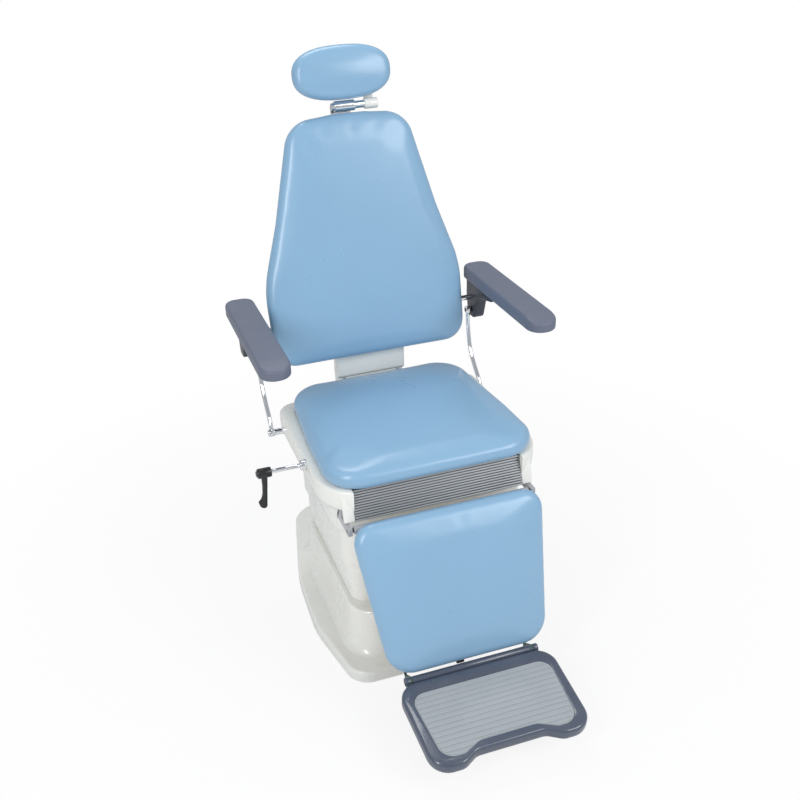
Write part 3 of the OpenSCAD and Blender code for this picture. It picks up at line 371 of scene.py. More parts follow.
class ChairFinishes(bpy.types.PropertyGroup):
    """Colours and surface sizes of the chair's finishes."""

    vinyl: tint("Vinyl", "Colour of the vinyl covers", (0.268, 0.462, 0.655))
    moulding: tint("Mouldings", "Colour of the moulded covers", (0.88, 0.88, 0.83))
    arm: tint("Arm pads", "Colour of the moulded arm pads", (0.150, 0.168, 0.226))
    bracket: tint("Arm brackets", "Colour of the brackets under the arm pads",
                  (0.032, 0.036, 0.050))
    tray: tint("Foot tray", "Colour of the foot tray's frame", (0.070, 0.088, 0.130))
    mat: tint("Foot mat", "Colour of the ribbed mat", (0.385, 0.41, 0.435))
    plating: tint("Plating", "Colour of the foot brackets' passivated plating",
                  (0.12, 0.20, 0.185))
    grain: length("Vinyl grain", "Size of one cell of the vinyl's grain", 0.0011, 0.0004, 0.004)
    stipple: length("Moulding stipple", "Size of the fine waves in the moulded surfaces",
                    0.004, 0.001, 0.02)


class ChairSizes(bpy.types.PropertyGroup):
    """Sizes of the cushions that can be changed by themselves."""

    seat_roll: length("Seat edge", "Width of the seat cushion's rolled edge", 0.031, 0.01, 0.045)
    back_roll: length("Back edge", "Width of the other cushions' rolled edges",
                      0.024, 0.01, 0.035)
    seat_crown: length("Seat crown", "Rise of the seat cushion's middle", 0.006, 0.0, 0.008)
    back_crown: length("Back crown", "Rise of the other cushions' middles", 0.007, 0.0, 0.009)
    swell: length("Swell", "Most that a cushion's cover may bulge from its drawn form",
                  0.006, 0.001, 0.012)


def new_group(name, outputs, **inputs):
    """An empty node group with its sockets: a Vector, then numbers and colours."""
    group = bpy.data.node_groups.new(name, "ShaderNodeTree")
    sockets = group.interface
    sockets.new_socket("Vector", in_out="INPUT", socket_type="NodeSocketVector")
    for label, value in inputs.items():
        kind = "NodeSocketFloat" if isinstance(value, float) else "NodeSocketColor"
        sockets.new_socket(label, in_out="INPUT", socket_type=kind).default_value = value
    for label in outputs:
        kind = "NodeSocketColor" if label == "Colour" else "NodeSocketFloat"
        sockets.new_socket(label, in_out="OUTPUT", socket_type=kind)
    given = group.nodes.new("NodeGroupInput").outputs
    return group, given, group.nodes.new("NodeGroupOutput").inputs


def node(tree, kind, links=(), **settings):
    """Adds a node, sets it up and links its named or numbered inputs."""
    made = tree.nodes.new(kind)
    for key, value in settings.items():
        setattr(made, key, value)
    for socket, source in dict(links).items():
        if isinstance(source, bpy.types.NodeSocket):
            tree.links.new(source, made.inputs[socket])
        else:
            made.inputs[socket].default_value = source
    return made


def calc(tree, operation, first, second, **settings):
    """Two numbers put together by a Math node."""
    return node(tree, "ShaderNodeMath", {0: first, 1: second}, operation=operation,
                **settings).outputs[0]


def remap(tree, value, low, high, to_low=0.0, to_high=1.0, **settings):
    """A number carried from one range to another."""
    return node(tree, "ShaderNodeMapRange", {0: value, 1: low, 2: high, 3: to_low, 4: to_high},
                **settings).outputs[0]


def noise(tree, vector, scale, detail, output=0, **inputs):
    """A noise pattern at a place."""
    return node(tree, "ShaderNodeTexNoise", {"Vector": vector, "Scale": scale, "Detail": detail,
                                             **inputs}).outputs[output]


def build_drift():
    """Slow change of colour over a surface, as dye and moulding give it."""
    group, given, out = new_group("Colour drift", ["Colour"], Colour=(1, 1, 1, 1), Amount=0.06,
                                  Scale=6.0)
    cloud = noise(group, given["Vector"], given["Scale"], 3.0)
    signed = calc(group, "SUBTRACT", cloud, 0.5)
    share = calc(group, "MULTIPLY", signed, given["Amount"])
    shade = node(group, "ShaderNodeHueSaturation", {
        "Color": given["Colour"], "Value": calc(group, "ADD", share, 1.0)})
    group.links.new(shade.outputs[0], out[0])


def build_grain():
    """Embossed cells of a vinyl or moulded skin: their height, and the creases between them as a
    mask for painted shade.
    """
    group, given, out = new_group("Skin grain", ["Height", "Crease"], Scale=900.0)
    bend = noise(group, given["Vector"], 90.0, 2.0, "Color")
    shift = node(group, "ShaderNodeVectorMath", {0: bend, "Scale": 0.002}, operation="SCALE")
    place = node(group, "ShaderNodeVectorMath", {0: given["Vector"], 1: shift.outputs[0]},
                 operation="ADD")
    cells = node(group, "ShaderNodeTexVoronoi", {
        "Vector": place.outputs[0], "Scale": given["Scale"]}, feature="DISTANCE_TO_EDGE")
    swell = remap(group, cells.outputs[0], 0.0, 0.32, interpolation_type="SMOOTHSTEP")
    group.links.new(swell, out[0])
    # The inverse of the cells' height marks the creases that get painted shade
    group.links.new(calc(group, "SUBTRACT", 1.0, swell), out[1])


def build_handling():
    """Roughness of a handled surface, with cloudy polish and a few fine scuffs."""
    group, given, out = new_group("Handling", ["Roughness"], Low=0.3, High=0.4, Scuffs=0.1)
    cloud = noise(group, given["Vector"], 11.0, 4.0, Roughness=0.6)
    base = remap(group, cloud, 0.3, 0.7, given["Low"], given["High"])
    turn = node(group, "ShaderNodeMapping", {
        "Vector": given["Vector"], "Rotation": (0.4, 0.9, 0.7), "Scale": (9.0, 260.0, 90.0)})
    line = remap(group, noise(group, turn.outputs[0], 1.0, 2.0), 0.66, 0.74)
    scuff = calc(group, "MULTIPLY", line, given["Scuffs"])
    group.links.new(calc(group, "ADD", base, scuff, use_clamp=True), out[0])


def build_dust():
    """Faint dust that settles on faces that look up, broken up by noise."""
    group, given, out = new_group("Settled dust", ["Mask"], Amount=0.1)
    surface = node(group, "ShaderNodeNewGeometry")
    split = node(group, "ShaderNodeSeparateXYZ", {0: surface.outputs["Normal"]})
    up = remap(group, split.outputs[2], 0.55, 0.95)
    patch = remap(group, noise(group, given["Vector"], 17.0, 5.0), 0.4, 0.75, 0.15)
    both = calc(group, "MULTIPLY", up, patch)
    group.links.new(calc(group, "MULTIPLY", both, given["Amount"]), out[0])


def build_brushing():
    """Fine lines along X, as a brushed or drawn metal has them."""
    group, given, out = new_group("Brushing", ["Height"], Fineness=900.0)
    along = node(group, "ShaderNodeMapping", {
        "Vector": given["Vector"], "Scale": (0.02, 1.0, 1.0)})
    group.links.new(noise(group, along.outputs[0], given["Fineness"], 3.0), out[0])


def use(tree, name, **values):
    """Places one of the shared groups in a material, with its own values."""
    made = tree.nodes.new("ShaderNodeGroup")
    made.node_tree = bpy.data.node_groups[name]
    for key, value in values.items():
        if isinstance(value, bpy.types.NodeSocket):
            tree.links.new(value, made.inputs[key])
        else:
            made.inputs[key].default_value = value
    return made


def make_finish(name, colour, low, high, drift=0.05, metallic=0.0, coat=0.0, coat_roughness=0.1,
                dust=0.04, scuffs=0.05, relief="stipple", size=0.004, depth=0.00005,
                specular=0.5):
    """One finish: colour drift and dust, handled roughness, and a relief of a real size."""
    material = bpy.data.materials.new(name + FINISH)
    material.use_nodes = True
    tree = material.node_tree
    shader = tree.nodes["Principled BSDF"]
    spot = node(tree, "ShaderNodeTexCoord").outputs["Object"]
    tone = use(tree, "Colour drift", Vector=spot, Colour=(*colour, 1), Amount=drift)
    powder = use(tree, "Settled dust", Vector=spot, Amount=dust)
    paint = node(tree, "ShaderNodeMix", {0: powder.outputs[0], 6: tone.outputs[0], 7: DUST},
                 data_type="RGBA").outputs[2]
    wear = use(tree, "Handling", Vector=spot, Low=low, High=high, Scuffs=scuffs)
    if relief == "grain":
        skin = use(tree, "Skin grain", Vector=spot, Scale=1 / size)
        height = skin.outputs["Height"]
        # Painted shade: the grain's creases are darkened by a cool grey tint
        paint = node(tree, "ShaderNodeMix", {0: skin.outputs["Crease"], 6: paint, 7: CREASE_SHADE},
                     data_type="RGBA", blend_type="MULTIPLY").outputs[2]
    elif relief == "brushed":
        height = use(tree, "Brushing", Vector=spot, Fineness=1 / size).outputs[0]
    else:
        height = noise(tree, spot, 1 / size, 4.0, Roughness=0.55)
    bump = node(tree, "ShaderNodeBump", {"Height": height, "Strength": 0.6, "Distance": depth})
    tree.links.new(paint, shader.inputs["Base Color"])
    tree.links.new(wear.outputs["Roughness"], shader.inputs["Roughness"])
    tree.links.new(bump.outputs[0], shader.inputs["Normal"])
    for socket, value in (("Metallic", metallic), ("Coat Weight", coat),
                          ("Coat Roughness", coat_roughness), ("Specular IOR Level", specular)):
        shader.inputs[socket].default_value = value


class CHAIR_OT_finishes(bpy.types.Operator):
    """Builds the shared node groups and every finish of the chair"""
    bl_idname = "chair.finishes"
    bl_label = "Build finishes"

    def execute(self, context):
        look = context.scene.chair_finishes
        for build in (build_drift, build_grain, build_handling, build_dust, build_brushing):
            build()
        make_finish("blue_vinyl", look.vinyl, 0.27, 0.34, drift=0.07, coat=0.25,
                    coat_roughness=0.18, dust=0.0, scuffs=0.0, relief="grain",
                    size=look.grain, depth=0.00004)
        make_finish("ivory_plastic", look.moulding, 0.24, 0.32, drift=0.02, coat=0.5,
                    coat_roughness=0.06, scuffs=0.0, dust=0.0, size=look.stipple, depth=0.00001)
        make_finish("slate_polyurethane", look.arm, 0.42, 0.52, drift=0.06, coat=0.05,
                    coat_roughness=0.3, dust=0.03, relief="grain", size=0.0013, depth=0.00008,
                    specular=0.4)
        make_finish("slate_plastic", look.bracket, 0.34, 0.44, coat=0.1, coat_roughness=0.25,
                    size=0.0012, depth=0.00005, dust=0.02)
        make_finish("foot_plastic", look.tray, 0.20, 0.28, coat=0.5, coat_roughness=0.08,
                    dust=0.05, size=0.003, depth=0.00006)
        make_finish("mat_rubber", look.mat, 0.62, 0.78, drift=0.12, dust=0.12, scuffs=0.1,
                    relief="grain", size=0.0015, depth=0.00006, specular=0.3)
        make_finish("ribbed_aluminium", (0.50, 0.51, 0.52), 0.38, 0.46, metallic=0.7, dust=0.0,
                    relief="brushed", size=0.002, depth=0.00001)
        make_finish("chrome_steel", (0.86, 0.87, 0.89), 0.05, 0.10, drift=0.02, metallic=1.0,
                    dust=0.0, scuffs=0.02, size=0.004, depth=0.000004)
        make_finish("zinc_steel", (0.66, 0.67, 0.69), 0.28, 0.42, drift=0.12, metallic=1.0,
                    dust=0.02, relief="brushed", size=0.0012, depth=0.00004)
        make_finish("bearing_steel", (0.55, 0.56, 0.58), 0.22, 0.34, metallic=1.0,
                    relief="brushed", size=0.0010, depth=0.00003)
        make_finish("plated_steel", look.plating, 0.30, 0.42, drift=0.25, metallic=0.85, dust=0.02,
                    size=0.003, depth=0.00004)
        make_finish("dark_steel", (0.10, 0.10, 0.11), 0.38, 0.5, metallic=0.3, dust=0.06,
                    size=0.002, depth=0.00006)
        make_finish("grey_paint", (0.45, 0.46, 0.48), 0.34, 0.46, drift=0.06, coat=0.15, dust=0.06,
                    size=0.0018, depth=0.00008)
        make_finish("black_paint", (0.03, 0.03, 0.035), 0.34, 0.46, coat=0.15, dust=0.04,
                    size=0.0018, depth=0.00008)
        make_finish("black_plastic", (0.012, 0.012, 0.014), 0.30, 0.42, coat=0.1, dust=0.01,
                    size=0.0012, depth=0.00006)
        make_finish("dark_plastic", (0.08, 0.08, 0.09), 0.40, 0.52, size=0.0012, depth=0.00006)
        make_finish("white_nylon", (0.80, 0.80, 0.78), 0.42, 0.52, size=0.002, depth=0.00005)
        make_finish("plywood", (0.62, 0.46, 0.29), 0.6, 0.75, drift=0.3, relief="brushed",
                    size=0.004, depth=0.00015, dust=0.05)
        slots = {row["node"]: row["material_slot"] for row in frame["record"]["subparts"]}
        for part, cad in frame["nodes"].items():
            slot = slots[part]
            for place in cad.material_slots:
                place.link = "OBJECT"
                place.material = bpy.data.materials[slot + FINISH]
        return {"FINISHED"}


def cushion(name, shape, low, high, tuck, edge, dome):
    """A padded form on a flat back: sides that roll in, and a crowned face. Sizes in mm."""
    piece = shape()
    half = (high - low) / 2
    rise(0.5)
    roll(edge, half, steps=14)
    crown(piece, dome, (0.96, 0.92, 0.87, 0.81, 0.74, 0.66, 0.57, 0.47, 0.36, 0.25, 0.14, 0.05))
    pick(piece, "FACE", lowest(piece))
    roll(tuck, half, steps=9, end=78)
    raise_up(piece, low + half)
    piece.name = piece.data.name = name
    return piece


def puff(piece, cap, voxel):
    """Swells the cover by a cloth simulation, held at its flat back and capped in mm."""
    back, pressure, stiffness, moments = 6 * MM, 1.6, 40, 20
    modify(piece, "REMESH", mode="VOXEL", voxel_size=voxel * MM)
    drawn = [vertex.co.copy() for vertex in piece.data.vertices]
    low = min(spot.z for spot in drawn)
    held = piece.vertex_groups.new(name="held")
    held.add([k for k, spot in enumerate(drawn) if spot.z < low + back], 1.0, "REPLACE")
    focus(piece)
    bpy.ops.object.modifier_add(type="CLOTH")
    cloth = piece.modifiers[-1]
    fabric = cloth.settings
    fabric.use_pressure = True
    fabric.uniform_pressure_force = pressure
    fabric.vertex_group_mass = held.name
    fabric.tension_stiffness = fabric.compression_stiffness = stiffness
    fabric.bending_stiffness = stiffness
    fabric.effector_weights.gravity = 0
    cloth.point_cache.frame_start, cloth.point_cache.frame_end = 1, moments
    for moment in range(1, moments + 1):
        bpy.context.scene.frame_set(moment)
    bpy.ops.object.modifier_apply(modifier=cloth.name)
    bpy.context.scene.frame_set(1)
    for vertex, spot in zip(piece.data.vertices, drawn):
        move = vertex.co - spot
        if move.length > cap * MM:
            vertex.co = spot + move.normalized() * cap * MM
    piece.vertex_groups.clear()
    modify(piece, "SMOOTH", factor=0.5, iterations=16)
    modify(piece, "SUBSURF", levels=1, render_levels=1)


class CHAIR_OT_base(bpy.types.Operator):
    """Models the low base cover and the flared shroud round the column's foot"""
    bl_idname = "chair.base"
    bl_label = "Model base"

    def execute(self, context):
        corners = both_sides([(238, -314, 55), (279, -100, 300), (268, 110, 500), (194, 425, 90)])
        cover = outline("base_cover_skin", corners, 14)
        rise(22.5)
        roll(8, 8)
        raise_up(cover, 1.5)
        shell_of(cover, 4)
        cut_box(cover, (-85.3, -85.3, 10), (85.3, 85.3, 40))
        dress(cover, SEAT, "base", "ivory_plastic", "base_cover")
        corners = both_sides([(234, -272, 82), (234, 262, 82)])
        shroud = outline("column_shroud_skin", corners, 12)
        flare = [(0.80, 0.022), (0.62, 0.06), (0.47, 0.11), (0.34, 0.18), (0.23, 0.28),
                 (0.14, 0.42), (0.08, 0.57), (0.04, 0.74), (0.012, 0.88), (0, 0.94)]
        to_levels(shroud, [(212 + 22 * f, 250 + 22 * f, 240 + 22 * f, 118 * h) for f, h in flare])
        roll(5, 7, steps=5)
        raise_up(shroud, 32)
        shell_of(shroud, 4)
        bore = both_sides([(200.5, -200.5, 42.5), (200.5, 200.5, 42.5)])
        carve(shroud, prism("bore", bore, 90, 200))
        dress(shroud, SEAT, "base", "ivory_plastic", "column_shroud")
        return {"FINISHED"}


class CHAIR_OT_skirts(bpy.types.Operator):
    """Models the three telescopic skirts of the lifting column"""
    bl_idname = "chair.skirts"
    bl_label = "Model skirts"

    def execute(self, context):
        for name, half, corner, low, high, body in (
                ("upper_skirt", 218, 60, 268, 366, "lift"),
                ("middle_skirt", 209, 51, 207, 358, "skirt_middle"),
                ("lower_skirt", 200, 42, 60, 344, "skirt_lower")):
            corners = both_sides([(half, -half, corner), (half, half, corner)])
            skirt = outline(name + "_skin", corners, 12)
            rise(high - low - 3)
            roll(3, 3, steps=4)
            if name != "upper_skirt":
                bpy.ops.mesh.delete(type="FACE")
            raise_up(skirt, low)
            shell_of(skirt, 3)
            if name == "upper_skirt":
                deselect()
                bpy.ops.mesh.primitive_cylinder_add(vertices=64, radius=0.1, depth=0.04,
                                                    location=(0, 0, 0.36))
                carve(skirt, context.object)
            dress(skirt, SEAT, body, "ivory_plastic", name)
            break_edges(skirt, 1.1, 3, 50)
        return {"FINISHED"}


class CHAIR_OT_housing(bpy.types.Operator):
    """Models the seat housing with its rim, its corner posts and its openings"""
    bl_idname = "chair.housing"
    bl_label = "Model seat housing"

    def execute(self, context):
        corners = both_sides([(238, -238, 90), (238, 152, 42)])
        housing = outline("seat_housing_skin", corners, 12)
        levels = [(239.5, 240, 152.3), (242, 244, 153), (246, 248, 163), (251, 250, 179),
                  (256, 251.5, 190), (260, 253, 198), (263.6, 256, 200.6), (266, 259, 202),
                  (267.4, 260.3, 204), (268, 261, 206), (268, 261, 206), (267.6, 260.6, 205.6),
                  (266.4, 259.4, 204.4), (264, 257, 202)]
        heights = [19, 39, 56, 72, 75.5, 78, 81, 84, 92, 104, 127.7, 130.5, 132.7, 133.7]
        to_levels(housing, [(*level, up) for level, up in zip(levels, heights)])
        step(34, 0)
        bpy.ops.mesh.delete(type="FACE")
        raise_up(housing, 374)
        shell_of(housing, 3.5)
        cut_box(housing, (-204, -264, 430.6), (204, -218, 520))
        for side in (-1, 1):
            x = sorted((side * 215, side * 231))
            cut_box(housing, (x[0], -264, 409.7), (x[1], -197, 433.7))
            cut_box(housing, (x[0], -228, 425), (x[1], -197, 455))
            cut_rod(housing, 8.4, side * 230, side * 275, LINK_FOOT)
        cut_box(housing, (-100, 110, 400), (100, 212, 520))
        cut_rod(housing, 5.4, -275, -240, LEVER)
        cut_rod(housing, 12.4, -275, -264, LEVER)
        break_edges(housing, 1.0, 2, 50)
        posts = []
        for side in (-1, 1):
            x = sorted((side * 204, side * 230))
            post = block("post", (x[0], -2.9, 1.0), (x[1], 9, 73.6), 4.5, 5)
            settle(post, APRON)
            posts.append(post)
        dress(join(housing, *posts), SEAT, "seat", "ivory_plastic", "seat_housing")
        return {"FINISHED"}


class CHAIR_OT_ribbed_panel(bpy.types.Operator):
    """Models the ribbed metal panel under the seat's front edge"""
    bl_idname = "chair.ribbed_panel"
    bl_label = "Model ribbed panel"

    def execute(self, context):
        half, high, count = 203.6, 74, 12
        pitch = high / count
        plate = block("ribbed_panel_back", (-half, 0.8, 0), (half, 3, high), 0.3, 1)
        dress(plate, APRON, "seat", "dark_steel", "ribbed_panel")
        rib = block("ribbed_panel_skin", (-half, -2.7, 1.0), (half, 1.2, pitch - 0.9), 1.2, 4)
        repeat(rib, count, (0, 0, pitch * MM))
        dress(rib, APRON, "seat", "ribbed_aluminium", "ribbed_panel")
        return {"FINISHED"}


class CHAIR_OT_cushions(bpy.types.Operator):
    """Models and swells the seat, back, leg and head cushions"""
    bl_idname = "chair.cushions"
    bl_label = "Model cushions"

    def execute(self, context):
        size = context.scene.chair_sizes
        seat = both_sides([(256, -257, 86), (251, -60, 900), (228.5, 217.5, 86)])
        back = both_sides([(254.5, 2.5, 56), (260.5, 205, 240), (209.5, 361, 320),
                           (150, 591.5, 70), (38, 601.5, 200)])
        leg = both_sides([(190, -361.5, 64), (232.5, -2.5, 48)])
        head = BACK @ Matrix.Translation((0, 694.5 * MM, 0))
        seat_edge, edge = size.seat_roll / MM, size.back_roll / MM
        seat_dome, dome = size.seat_crown / MM, size.back_crown / MM
        swell = size.swell / MM
        # Name, body, place, outline, underside, top, tuck, edge, dome, swell, voxel and fill
        rows = (
            ("seat", "seat", SEAT, lambda: outline("seat", seat, 20), 508, 553.5,
             12, seat_edge, seat_dome, swell, 5.0, 0.8),
            ("back", "back", BACK, lambda: outline("back", back, 20), -20, 23.5,
             12, edge, dome, swell, 5.0, 0.85),
            ("leg", "leg", LEG, lambda: outline("leg", leg, 20), -20, 21.5,
             12, edge, dome, swell, 5.0, 0.85),
            ("head", "headrest", head, lambda: oval("head", 246, 127, 2.5), -22, 21.5,
             8, edge, dome, swell * 0.6, 4.0, 0.9))
        for name, body, place, shape, *form, cap, voxel, fill in rows:
            piece = cushion(name + "_cushion_skin", shape, *form)
            puff(piece, cap, voxel)
            dress(piece, place, body, "blue_vinyl", name + "_cushion", 60)
        return {"FINISHED"}


class CHAIR_OT_arms(bpy.types.Operator):
    """Models the arm pads, their brackets and their pins"""
    bl_idname = "chair.arms"
    bl_label = "Model arms"

    def execute(self, context):
        # The pad droops ahead of its nose line, in metres
        nose, reach, droop, thick = -0.074, 0.047, 0.010, 0.029
        for hand, place in (("right", SEAT), ("left", MIRROR)):
            body = "arm_" + hand
            pad = outline("arm_pad_" + hand + "_skin", [
                (357.5, -121, 35), (357.5, 300, 28), (284.5, 300, 28), (284.5, -121, 35)], 12)
            rise(20)
            roll(7, 9)
            pick(pad, "FACE", lowest(pad))
            roll(6, 5, steps=4)
            for y in (-0.078, -0.070):
                bpy.ops.mesh.select_all(action="SELECT")
                bpy.ops.mesh.bisect(plane_co=(0, y, 0), plane_no=(0, 1, 0))
            deselect()
            for vertex in pad.data.vertices:
                ahead = max(0.0, nose - vertex.co.y) / reach
                if vertex.co.z > 0:
                    vertex.co.z -= droop * ahead ** 1.15 * vertex.co.z / thick
            raise_up(pad, 747.5)
            dress(pad, place, body, "slate_polyurethane", "arm_pad_" + hand, 32)
            arm = outline("arm_bracket_" + hand + "_skin", [
                (140, 741.7, 2), (140, 721.7, 8), (224.2, 701.8, 30), (244.2, 635.8, 14),
                (284.2, 635.8, 14), (296, 691.8, 20), (296, 741.7, 2)])
            rise(22)
            round_both(arm, 4, 4, 4)
            arm.data.transform(SIDE_ON @ Matrix.Translation((0, 0, 304 * MM)))
            cut_rod(arm, 7.1, 299, 325, ARM_PIVOT)
            arm = join(arm, rod("stud", 4.7, 284, 302, LINK_TOP, 0.5))
            dress(arm, place, body, "slate_plastic", "arm_bracket_" + hand)
            pin = rod("arm_pin_" + hand + "_skin", 7, 170, 324, ARM_PIVOT, 0.8)
            dress(pin, place, "back", "chrome_steel", "arm_pin_" + hand)
        return {"FINISHED"}


class CHAIR_OT_links(bpy.types.Operator):
    """Models the curved link rods, and the fixed shafts at their feet"""
    bl_idname = "chair.links"
    bl_label = "Model links"

    def execute(self, context):
        route = [LINK_FOOT, (172, 463), (181, 480), (213, 512), (241, 546), (253, 578),
                 (259, 606), (262.5, 632), LINK_TOP]
        for hand, place in (("right", SEAT), ("left", MIRROR)):
            line = bpy.data.curves.new("link", "CURVE")
            line.dimensions = "3D"
            line.bevel_depth = 5.6 * MM
            line.bevel_resolution = 5
            line.resolution_u = 10
            line.use_fill_caps = True
            spline = line.splines.new("BEZIER")
            spline.bezier_points.add(len(route) - 1)
            for point, (y, z) in zip(spline.bezier_points, route):
                point.co = (291 * MM, y * MM, z * MM)
                point.handle_left_type = point.handle_right_type = "AUTO"
            link = bpy.data.objects.new("link_rod_" + hand + "_skin", line)
            bpy.context.scene.collection.objects.link(link)
            focus(link)
            bpy.ops.object.convert(target="MESH")
            link = bpy.context.object
            eyes = []
            for end in (LINK_FOOT, LINK_TOP):
                eye = rod("eye", 10, 285, 297, end, 1.2)
                cut_rod(eye, 5.1, 280, 300, end)
                eyes.append(eye)
            dress(join(link, *eyes), place, "link_" + hand, "chrome_steel", "link_rod_" + hand)
            shaft = rod("link_shaft_" + hand, 8, 118, 284.7, LINK_FOOT, 1.0)
            tip = rod("tip", 5, 284, 299, LINK_FOOT, 0.4)
            cap = rod("cap", 9, 297.3, 301, LINK_FOOT, 1.0)
            web = block("web", (110, 135, 446.2), (118, 174, 499), 1.5)
            dress(join(shaft, tip, cap, web), place, "seat", "chrome_steel",
                  "link_bracket_" + hand)
        return {"FINISHED"}


class CHAIR_OT_lever(bpy.types.Operator):
    """Models the clamping lever beside the seat"""
    bl_idname = "chair.lever"
    bl_label = "Model lever"

    def execute(self, context):
        stem = rod("lever_rod_skin", 5, -349, -264, LEVER, 0.5)
        dress(stem, SEAT, "lever", "chrome_steel", "lever_rod")
        boss = rod("lever_boss_skin", 12, -280, -264.2, LEVER, 1.5)
        cut_rod(boss, 5.05, -285, -260, LEVER)
        dress(boss, SEAT, "seat", "chrome_steel", "lever_boss")
        hub = rod("lever_handle_skin", 12, -382, -349, LEVER, 2.5)
        cut_rod(hub, 7.4, -385, -379, LEVER)
        arm = outline("arm", [(-358, 498, 6), (-374, 498, 6), (-373, 462, 60), (-374.5, 436, 40),
                              (-379, 424, 4), (-386, 416, 4), (-382, 404, 8), (-372, 399, 6),
                              (-366, 404, 6), (-363, 440, 40)], 6)
        rise(5)
        round_both(arm, 4, 4, 4)
        upright = Matrix.Rotation(math.pi / 2, 4, "X")
        arm.data.transform(Matrix.Translation((0, LEVER[0] * MM, 0)) @ upright
                           @ Matrix.Translation((0, 0, -2.5 * MM)))
        dress(join(hub, arm), SEAT, "lever", "black_plastic", "lever_handle")
        button = rod("lever_button_skin", 7.2, -385, -379, LEVER, 1.2)
        dress(button, SEAT, "lever", "dark_plastic", "lever_button")
        return {"FINISHED"}


class CHAIR_OT_back_shell(bpy.types.Operator):
    """Models the moulded shell behind the back cushion, and the cover over the hinge"""
    bl_idname = "chair.back_shell"
    bl_label = "Model back shell"

    def execute(self, context):
        corners = both_sides([(243, 14, 44), (249, 205, 226), (198.5, 357.5, 334),
                              (141, 581, 58), (37, 590, 186)])
        shell = outline("back_shell_skin", corners, 10)
        rise(20)
        roll(24, 26, steps=8)
        hollow = outline("hollow", both_sides([(239, 18, 40), (245, 205, 222), (194.6, 356.5, 338),
                                               (138, 577, 54), (36, 586, 182)]), 10)
        rise(20.5)
        roll(20, 22, steps=8)
        deselect()
        hollow.matrix_world = Matrix.Translation((0, 0, -0.5 * MM))
        carve(shell, hollow)
        shell.data.transform(BACK @ Matrix.Translation((0, 0, -23 * MM)) @ TURN_OVER)
        cut_rod(shell, 8.2, -330, 330, ARM_PIVOT)
        cut_box(shell, (-82, -1, -57), (82, 38, -18), BACK)
        cut_box(shell, (-26, 532, -52), (26, 606, -42), BACK)
        dress(shell, SEAT, "back", "ivory_plastic", "back_shell")
        corners = both_sides([(91, 227, 10), (91, 256, 1)])
        lower = prism("hinge_cover_skin", corners, 502, 545)
        cut_box(lower, (-88.5, 229.5, 501), (88.5, 257, 546))
        apron = outline("apron", [(222.2, 538, 13), (256, 538, 1), (256, 607, 1),
                                  (222.2, 607, 1)], 10)
        rise(184)
        deselect()
        cut_box(apron, (224.7, 541, 2.5), (257, 608, 181.5))
        apron.data.transform(Matrix.Translation((-92 * MM, 0, 0)) @ SIDE_ON)
        break_edges(apron, 1.2, 3, 60)
        dress(join(lower, apron), SEAT, "back", "ivory_plastic", "hinge_cover")
        return {"FINISHED"}


class CHAIR_OT_headrest(bpy.types.Operator):
    """Models the headrest's shell, its tilt tube and its lock"""
    bl_idname = "chair.headrest"
    bl_label = "Model headrest"

    def execute(self, context):
        shell = oval("head_shell_skin", 202, 100, 3)
        rise(20)
        roll(14.5, 14)
        deselect()
        shell_of(shell, 4)
        shell.data.transform(BACK @ Matrix.Translation((0, 703.5 * MM, -22 * MM)) @ TURN_OVER)
        cut_box(shell, (56.7, 617, -33), (79.3, 703.5, -20), BACK)
        dress(shell, SEAT, "headrest", "ivory_plastic", "head_shell")
        pivot = BACK @ Matrix.Translation((0, 617.5 * MM, -12 * MM))
        tube = rod("head_tube_skin", 9, -33, 51, MIDDLE, 0.8, 64)
        dress(tube, pivot, "headrest", "chrome_steel", "head_tube")
        lock = rod("head_lock_skin", 12.5, 51, 85, MIDDLE, 2.0, 64)
        cut_rod(lock, 4.5, 83, 90, MIDDLE)
        strap = block("strap", (57, 0, -19.3), (79, 61, -10.3), 1.5)
        dress(join(lock, strap), pivot, "headrest", "ivory_plastic", "head_lock")
        return {"FINISHED"}


class CHAIR_OT_foot_tray(bpy.types.Operator):
    """Models the foot tray with its rounded rim, its lugs and its ribbed mat"""
    bl_idname = "chair.foot_tray"
    bl_label = "Model foot tray"

    def execute(self, context):
        edge = both_sides([(80, -214, 30), (114, -234, 30), (184, -234, 46), (188.5, -9, 45)])
        well = both_sides([(66, -194, 38), (108, -214, 12), (156.5, -214, 34),
                           (168.5, -43, 30)])
        tray = outline("foot_tray_skin", edge, 10)
        rise(12)
        roll(8, 8)
        pick(tray, "FACE", lowest(tray))
        roll(12, 12)
        raise_up(tray, -13)
        carve(tray, prism("well", well, 3, 20, 10))
        break_edges(tray, 0.8, 2, 60)
        lugs = []
        for start, end in ((-163.3, -151.3), (-145.7, 145.7), (151.3, 163.3)):
            eye = rod("lug", 9, start, end, MIDDLE, 0.8)
            neck = block("neck", (start, -20, -9), (end, 0, 0), 0.8)
            for part in (eye, neck):
                cut_rod(part, 4.1, start - 1, min(start + 13, end), MIDDLE)
                cut_rod(part, 4.1, max(end - 13, start), end + 1, MIDDLE)
            lugs += [eye, neck]
        dress(join(tray, *lugs), FOOT, "foot", "foot_plastic", "foot_tray")

        def shrunk(gap):
            return [(x - math.copysign(gap, x), y + (gap if y < -100 else -gap), radius)
                    for x, y, radius in well]

        sole = prism("foot_mat_skin", shrunk(0.4), 3, 6.3, 10)
        count = 13
        pitch = 171 / count
        rib = block("rib", (-180, -213.4, 5.8), (180, -214.6 + pitch, 7.3), 0.5, 2)
        repeat(rib, count, (0, pitch * MM, 0))
        carve(rib, prism("trim", shrunk(2.5), -5, 20, 10), "INTERSECT")
        dress(join(sole, rib), FOOT, "foot", "mat_rubber", "foot_mat")
        return {"FINISHED"}


